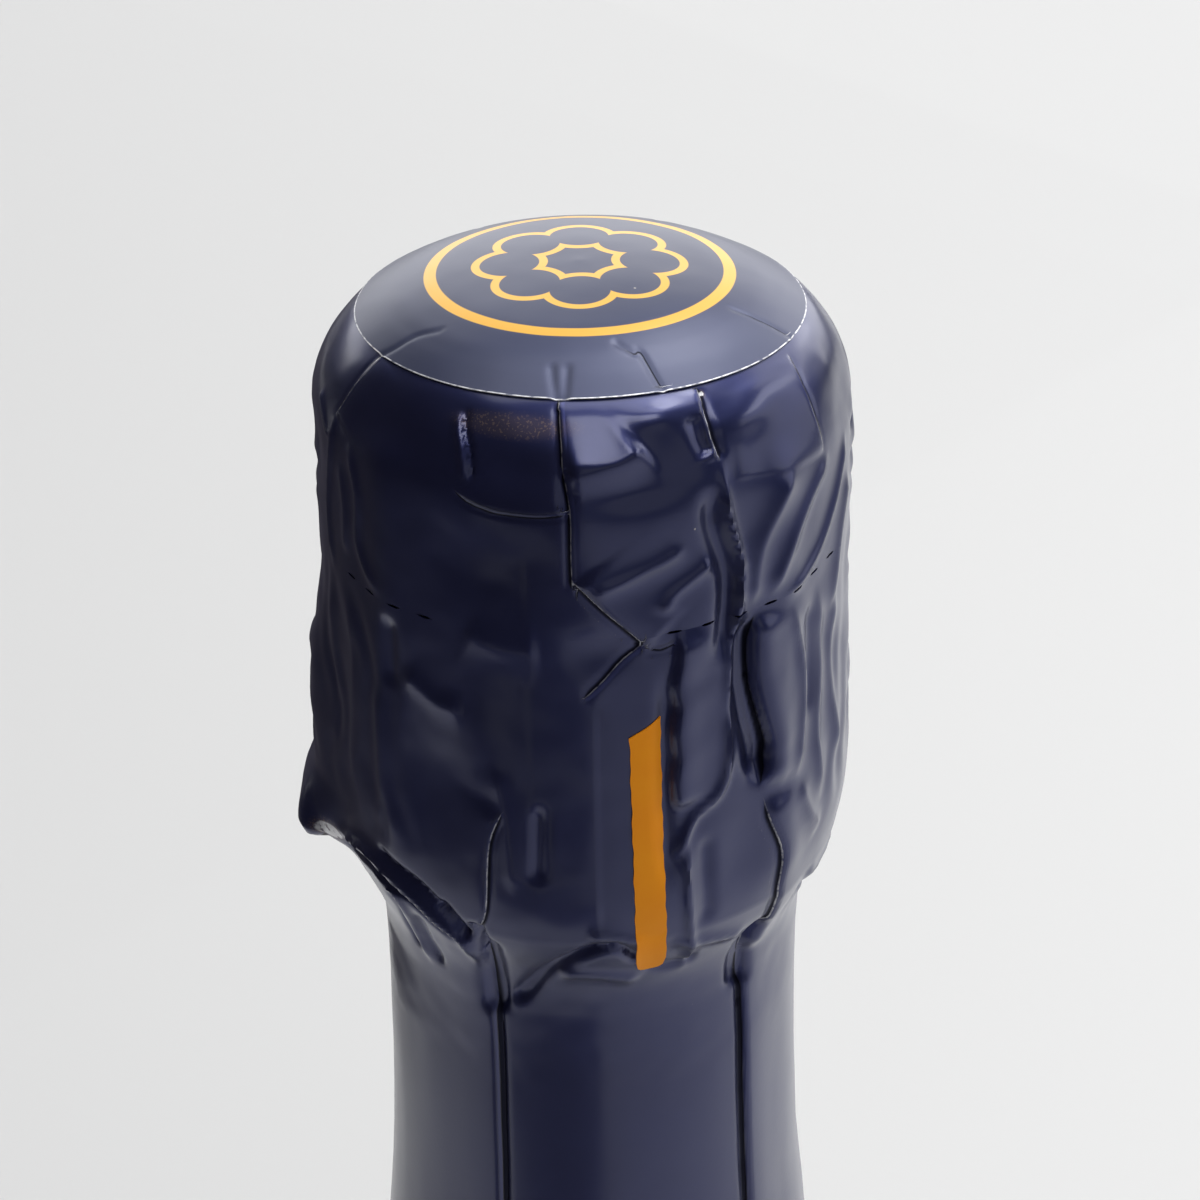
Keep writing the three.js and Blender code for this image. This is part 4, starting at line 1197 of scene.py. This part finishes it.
glass = spun("glass_bottle_shell", [*outside, *inside], GLASS_SWEEPS, GLASS_START)
points = places(glass)
radius, angle = round_places(points)
on_outside = (radius > np.interp(points[:, 2], *WALL)) & (points[:, 2] > 2)
seam = SEAM_HEIGHT * np.exp(-((turn_between(np.abs(angle), 90) / SEAM_HALF_ANGLE) ** 2)) * on_outside
points[:, :2] *= (1 + seam / np.maximum(radius, 1))[:, None]
on_ring = (np.abs(radius - RING_MIDDLE) < 1) & (points[:, 2] < 0.01)
points[:, 2] += STIPPLE_DEPTH * on_ring * (np.sin(np.radians(angle) * STIPPLES) > 0)
move_to(glass, points)
soften(glass, 35)

# %% [markdown]
# Green glass takes its colour from iron and chromium in the melt. A volume would tint it by its thickness,
# but it renders slowly, so the tint is on the surface. A stretched noise gives the faint ripple of blown
# glass.

# %% Green glass
green_glass, tree, shader = new_material("green_glass")
where = object_place(tree)
drawn = add(tree, "Mapping", where, inputs={"Scale": (60, 60, 9)}).outputs[0]
ripple = mottled(tree, drawn, 1, 2)
haze = mottled(tree, where, 25, 4)
sockets = {
    "Base Color": blend_colour(tree, ripple, (0.11, 0.19, 0.035, 1), (0.14, 0.23, 0.045, 1)),
    "Roughness": blend_value(tree, haze, 0.01, 0.06),
    "Normal": bumped(tree, ripple, strength=0.15, depth=1.2),
    "Transmission Weight": 1,
    "IOR": 1.52,
}
connect(tree, shader, sockets)
give(glass, green_glass)
settle(glass, "bottle", "glass_bottle")

# %% [markdown]
# ## Wine
#
# The wine fills the cavity up to the middle of the neck. Its side is the cavity's own outline moved in by a
# small gap, so the two surfaces never fight for the same place. Its surface climbs a little where it meets
# the glass, which shows as a thin bright line at the level.

# %% Make the wine
LEVEL, WALL_GAP, CREEP = 234, 0.3, 1.2

cavity = np.vstack([CAVITY, INNER_HEEL, INNER_PUNT])
tangent = np.gradient(cavity, axis=0)
tangent /= np.linalg.norm(tangent, axis=1)[:, None]
inner = cavity + WALL_GAP * np.stack([tangent[:, 1], -tangent[:, 0]], axis=1)
inner[-1] = (0, INNER_PUNT[-1][1] + WALL_GAP)
wall = np.interp(LEVEL, inner[::-1, 1], inner[::-1, 0])
surface = [(0, LEVEL), (wall - 3, LEVEL), (wall - 1.4, LEVEL + 0.1), (wall - 0.5, LEVEL + 0.45)]
surface.append((wall, LEVEL + CREEP))
wine = spun("wine_fill", [*surface, *inner[inner[:, 1] < LEVEL - 1]], ((360, 96),))
soften(wine, 50)

# %% Pale wine
pale_wine, tree, shader = new_material("pale_wine")
where = object_place(tree)
depth = add(tree, "SeparateXYZ", where).outputs[2]
bubble = add(tree, "TexVoronoi", inputs={"Vector": where, "Scale": 900}).outputs["Distance"]
shallow = between(tree, depth, 0.0, 0.2)
sockets = {
    "Base Color": blend_colour(tree, shallow, (0.84, 0.66, 0.26, 1), (0.93, 0.8, 0.42, 1)),
    "Roughness": 0.02,
    "Normal": bumped(tree, bubble, strength=0.05, depth=0.1),
    "Transmission Weight": 1,
    "IOR": 1.34,
}
connect(tree, shader, sockets)
give(wine, pale_wine)
settle(wine, "bottle", "wine")

# %% [markdown]
# ## Cork
#
# The stopper's body is pressed from cork granules. Under the cage its head is squeezed to a mushroom: the
# legs leave four dents in it. It is spun like the bottle, and one level of subdivision rounds it before the
# dents and the pits are pressed in.

# %% Make the cork body
STEM_LINE = [(0, 287.7), (8.3, 287.7), (8.6, 288), (8.6, 292), (8.6, 296), (8.6, 299.6), (8.9, 300.2)]
HEAD_LINE = [(10.5, 300.35), (12.1, 300.4), (13.4, 300.95), (14.2, 301.9), (14.5, 303), (14.5, 305.5)]
TOP_LINE = [(14.5, 308), (14.5, 310.5), (14.45, 312.2), (14.1, 313.7), (13.4, 314.7), (12.4, 315.2)]
CAP_SIDE = [(11.25, 315.35), (11, 315.8), (11, 317), (10.9, 318.2), (10.4, 318.9), (9.6, 319.35)]
CAP_TOP = [(6, 320.3), (3, 320.7), (0, 320.8)]
LEG_DENT, DENT_HALF_ANGLE, PIT_SIZE, PIT_DEPTH = 0.3, 4.5, 0.9, 0.5

cork_outline = [*STEM_LINE, *HEAD_LINE, *TOP_LINE, *CAP_SIDE, *CAP_TOP]
cork_body = spun("cork_body_granules", cork_outline, ((360, 120),))
apply(cork_body, "SUBSURF", levels=1, render_levels=1)
points = places(cork_body)
radius, angle = round_places(points)
on_head = soft_step(301.5, 304, points[:, 2]) * soft_step(315.2, 314, points[:, 2])
dents = sum(np.exp(-((turn_between(angle, leg) / DENT_HALF_ANGLE) ** 2)) for leg in LEG_ANGLES)
pits = np.array([max(0, noise.noise(Vector(p) / PIT_SIZE) - 0.25) for p in points])
sunk = (LEG_DENT * dents + PIT_DEPTH * pits) * on_head
points[:, :2] *= (1 - sunk / np.maximum(radius, 5))[:, None]
move_to(cork_body, points)
soften(cork_body, 50)
press_down(cork_body)

# %% [markdown]
# ## Cork grain
#
# Each granule gets its own brown from a Voronoi texture, with dark lines of glue between them and dark
# pores in them. Natural cork uses the same group: stretched cells read as its growth rings and lenticels.

# %% Cork materials
cork_grain, given = start_group("cork_grain", {"Grain Scale": 500.0, "Stretch": (1.0, 1.0, 1.0)})
where = add(cork_grain, "Mapping", object_place(cork_grain), inputs={"Scale": given["Stretch"]}).outputs[0]
cells = {"Vector": where, "Scale": given["Grain Scale"]}
grain = add(cork_grain, "TexVoronoi", inputs=cells).outputs["Color"]
edge = add(cork_grain, "TexVoronoi", inputs=cells, feature="DISTANCE_TO_EDGE").outputs["Distance"]
tone = add(cork_grain, "SeparateColor", grain).outputs[1]
pores = mottled(cork_grain, where, calc(cork_grain, "MULTIPLY", given["Grain Scale"], 2.4), 4)
glue, pit = between(cork_grain, edge, 0.07, 0.02), between(cork_grain, pores, 0.62, 0.72)
dark = calc(cork_grain, "MAXIMUM", glue, pit)
end_group(cork_grain, {"Tone": tone, "Dark": dark, "Height": calc(cork_grain, "SUBTRACT", pores, dark)})


def cork_material(name, browns, line, cell, stretch):
    """Cork between two browns, with grains of this size in mm stretched along the axes."""
    material, tree, shader = new_material(name)
    look = use_group(tree, cork_grain, {"Grain Scale": 1 / (cell * MM), "Stretch": stretch})
    sockets = {
        "Base Color": blend_colour(tree, look["Dark"], blend_colour(tree, look["Tone"], *browns), line),
        "Roughness": blend_value(tree, look["Tone"], 0.72, 0.92),
        "Normal": bumped(tree, look["Height"], strength=0.35, depth=0.12),
    }
    connect(tree, shader, sockets)
    return material


GRANULE_BROWNS, GRANULE_GLUE = ((0.27, 0.14, 0.055, 1), (0.56, 0.34, 0.16, 1)), (0.12, 0.06, 0.025, 1)
NATURAL_BROWNS, LENTICEL = ((0.4, 0.23, 0.1, 1), (0.6, 0.38, 0.19, 1)), (0.16, 0.08, 0.035, 1)
granule_cork = cork_material("granule_cork", GRANULE_BROWNS, GRANULE_GLUE, 1.9, (1, 1, 1))
natural_cork = cork_material("natural_cork", NATURAL_BROWNS, LENTICEL, 2.6, (1, 0.3, 2.2))
give(cork_body, granule_cork)
settle(cork_body, "cork", "cork_body")

# %% [markdown]
# ## Discs of natural cork
#
# Two discs of whole cork are glued under the body, where the stopper meets the wine. They are cut flat with
# a slightly rounded edge: a cylinder is inset and bevelled, then divided so that the lenticels can be
# pressed in.

# %% Make the discs
CORK_RADIUS, DISC_HEIGHT, DISC_EDGE = 8.6, 6.0, 0.35
DISC_BOTTOMS = {"upper": 281.6, "lower": 275.5}


def cork_disc(name, bottom):
    """A flat disc of cork with a rounded edge and a worn side."""
    bpy.ops.object.select_all(action="DESELECT")
    centre = Vector((0, 0, bottom + DISC_HEIGHT / 2)) * MM
    size = {"radius": CORK_RADIUS * MM, "depth": DISC_HEIGHT * MM}
    bpy.ops.mesh.primitive_cylinder_add(vertices=64, location=centre, **size)
    disc = bpy.context.object
    disc.name = disc.data.name = name
    bpy.ops.object.transform_apply()
    bpy.ops.object.mode_set(mode="EDIT")
    bpy.ops.mesh.select_mode(type="FACE")
    bpy.ops.mesh.select_all(action="SELECT")
    bpy.ops.mesh.inset(thickness=DISC_EDGE * MM)
    bpy.ops.object.mode_set(mode="OBJECT")
    round_edge = {"limit_method": "ANGLE", "angle_limit": math.radians(50)}
    apply(disc, "BEVEL", width=DISC_EDGE * MM, segments=3, **round_edge)
    apply(disc, "SUBSURF", subdivision_type="SIMPLE", levels=2, render_levels=2)
    points = places(disc)
    flecks = np.array([noise.noise(Vector((p[0] / 2, p[1] / 4, p[2] / 1.1))) for p in points])
    points[:, :2] *= (1 - 0.012 * np.maximum(flecks - 0.15, 0))[:, None]
    move_to(disc, points)
    soften(disc, 40)
    return disc


for label, bottom in DISC_BOTTOMS.items():
    disc = cork_disc("cork_disc_" + label + "_natural", bottom)
    give(disc, natural_cork)
    settle(disc, "cork", "cork_disc_" + label)

# %% [markdown]
# ## Plaque
#
# A pressed cap of tinplate keeps the wire from cutting into the cork. It has a flat rim, a short wall and a
# low crown with a pressed bead. It is spun as one thin line and thickened inwards, as a press draws it from
# sheet.

# %% Make the plaque
RIM_LINE = [(13, 315.8), (12.6, 315.8), (11.95, 315.82), (11.68, 315.98), (11.6, 316.3), (11.6, 317.2)]
BEND_LINE = [(11.6, 318.1), (11.45, 318.75), (11.05, 319.4), (10.5, 319.78), (9.9, 320)]
CROWN_LINE = [(8.9, 320.32), (8.2, 320.5), (7.7, 320.42), (7.2, 320.6), (5.5, 321), (3, 321.3), (0, 321.4)]
PLATE_THICKNESS = 0.3

plaque = spun("cage_plaque_sheet", [*RIM_LINE, *BEND_LINE, *CROWN_LINE], ((360, 128),))
apply(plaque, "SOLIDIFY", thickness=PLATE_THICKNESS * MM, offset=-1, material_offset=1, material_offset_rim=1)
soften(plaque, 40)
press_down(plaque)

# %% [markdown]
# The plate is lacquered yellow with the rosette in navy, the foil's colours the other way round, so the
# printed group serves here too.

# %% Yellow plate
YELLOW_PLATE = (0.62, 0.3, 0.02, 1), (0.74, 0.38, 0.03, 1)

yellow_plate, tree, shader = new_material("yellow_plate")
scuff = mottled(tree, object_place(tree), 700, 5)
ink = use_group(tree, rosette)["Mask"]
sockets = {
    "Base Color": blend_colour(tree, ink, blend_colour(tree, scuff, *YELLOW_PLATE), DEEP_NAVY[1]),
    "Roughness": blend_value(tree, scuff, 0.2, 0.42),
    "Metallic": 0.5,
    "Coat Weight": 0.6,
}
connect(tree, shader, sockets)
give(plaque, yellow_plate, bare_foil)
settle(plaque, "cage", "cage_plaque")

# %% [markdown]
# ## Wire
#
# The cage is two pieces of galvanised wire. A wire is a line that is turned into a curve, given a round
# section and turned back into a mesh. Skin or a spun circle could make it too, but a curve keeps its
# section square to the line through every twist.

# %% Wire tools
STRAND_SPREAD = 1.05


def wire(path, diameter):
    """A round wire along a path in mm. A path that ends where it starts is closed."""
    line_through(path)
    bpy.ops.object.mode_set(mode="EDIT")
    bpy.ops.mesh.select_all(action="SELECT")
    bpy.ops.mesh.remove_doubles(threshold=1e-6)
    bpy.ops.object.mode_set(mode="OBJECT")
    bpy.ops.object.convert(target="CURVE")
    curve = bpy.context.object.data
    curve.bevel_depth = diameter / 2 * MM
    curve.bevel_resolution = 3
    curve.use_fill_caps = True
    bpy.ops.object.convert(target="MESH")
    return bpy.context.object


def hoop(radius, height, steps):
    """A closed circle round the axis."""
    return on_round(radius, height, np.linspace(0, 360, steps + 1))


def strand(line, degrees, spread, turns, phase, steps):
    """One strand of a twisted pair that follows a line of radius and height at an angle."""
    done = np.concatenate([[0], np.cumsum(np.linalg.norm(np.diff(line, axis=0), axis=1))])
    share = np.linspace(0, 1, steps + 1)
    r, z = (np.interp(share * done[-1], done, line[:, k]) for k in (0, 1))
    way = np.gradient(np.stack([r, z], axis=1), axis=0)
    way /= np.linalg.norm(way, axis=1)[:, None]
    turn = phase + math.tau * turns * share
    out, sideways = spread * np.sin(turn), spread * np.cos(turn)
    radius = r - way[:, 1] * out
    return on_round(radius, z + way[:, 0] * out, degrees + np.degrees(sideways / r))


# %% [markdown]
# ## Cage frame
#
# The frame's ring sits round the plaque. Its four legs are twisted pairs that run down over the cork and
# end in eyes, which hold the belt under the glass collar.

# %% Make the cage frame
WIRE, LEG_TURNS, LEG_STEPS = 0.8, 4, 96
RING_AT, EYE_AT, EYE_RADIUS = (12.3, 316.5), (14.97, 279.65), 1.15
LEG_BEND = bend((13, 316.92), (14.31, 316.2), (15.62, 313.97), (15.62, 311.02), 16)
LEG_FOOT = (16.12, EYE_AT[1])

leg_line = np.vstack([RING_AT, LEG_BEND, LEG_FOOT])
wires = [wire(hoop(*RING_AT, 96), WIRE)]
for leg in LEG_ANGLES:
    for phase in (0, math.pi):
        wires.append(wire(strand(leg_line, leg, WIRE / 2 * STRAND_SPREAD, LEG_TURNS, phase, LEG_STEPS), WIRE))
    turn = np.linspace(0, math.tau, 33)
    eye = on_round(EYE_AT[0] + EYE_RADIUS * np.cos(turn), EYE_AT[1] + EYE_RADIUS * np.sin(turn), leg)
    eye[-1] = eye[0]
    wires.append(wire(eye, WIRE))
cage_frame = joined("cage_frame_wire", wires)
soften(cage_frame, 60)
press_down(cage_frame)

# %% [markdown]
# Zinc settles on steel in small flat crystals, so the wire's grey changes from one Voronoi cell to the
# next, and a fine noise roughens it.

# %% Galvanised wire
ZINC = (0.46, 0.47, 0.48, 1), (0.66, 0.67, 0.68, 1)

steel_wire, tree, shader = new_material("galvanised_wire")
where = object_place(tree)
zinc = add(tree, "TexVoronoi", inputs={"Vector": where, "Scale": 1500}).outputs["Color"]
spangle = add(tree, "SeparateColor", zinc).outputs[0]
drawn = mottled(tree, where, 3000, 3)
sockets = {
    "Base Color": blend_colour(tree, spangle, *ZINC),
    "Roughness": blend_value(tree, drawn, 0.22, 0.5),
    "Normal": bumped(tree, drawn, strength=0.15, depth=0.03),
    "Metallic": 1,
}
connect(tree, shader, sockets)
give(cage_frame, steel_wire)
settle(cage_frame, "cage", "cage_frame")

# %% [markdown]
# ## Cage belt
#
# The belt runs through the eyes. Its two ends leave the ring on the left, twist round each other, turn up
# over the collar and close in a flat loop. That loop is what a hand takes hold of and untwists. One path
# makes the twist and the loop: up one strand, round the loop and down the other.

# %% Make the cage belt
BELT_WIRE, LOOP_ANGLE, LOOP_TURNS, LOOP_WIDTH, LOOP_LENGTH = 1.0, -90, 1.75, 9, 11
TWIST_LINE = [(14.97, 279.65), (17.0, 279.4), (17.87, 280.15), (17.1, 282.9), (16.325, 286.15)]

spread = BELT_WIRE / 2 * STRAND_SPREAD
twist = curve_through(TWIST_LINE, 0.2)
phases = (-math.pi / 2, math.pi / 2)
rising, falling = (strand(twist, LOOP_ANGLE, spread, -LOOP_TURNS, phase, 60) for phase in phases)
turn = np.linspace(0, math.tau, 64)[1:-1]
sideways = -spread * np.cos(turn / 2) - LOOP_WIDTH / 2 * np.sin(turn)
radius, height = TWIST_LINE[-1]
rise = LOOP_LENGTH / 2 * (1 - np.cos(turn))
loop = on_round(radius, height + rise, LOOP_ANGLE + np.degrees(sideways / radius))
belt_ring = wire(hoop(*EYE_AT, 120), BELT_WIRE)
belt_loop = wire(np.vstack([rising, loop, falling[::-1]]), BELT_WIRE)
cage_belt = joined("cage_belt_wire", [belt_ring, belt_loop])
soften(cage_belt, 60)
give(cage_belt, steel_wire)
settle(cage_belt, "cage", "cage_belt")
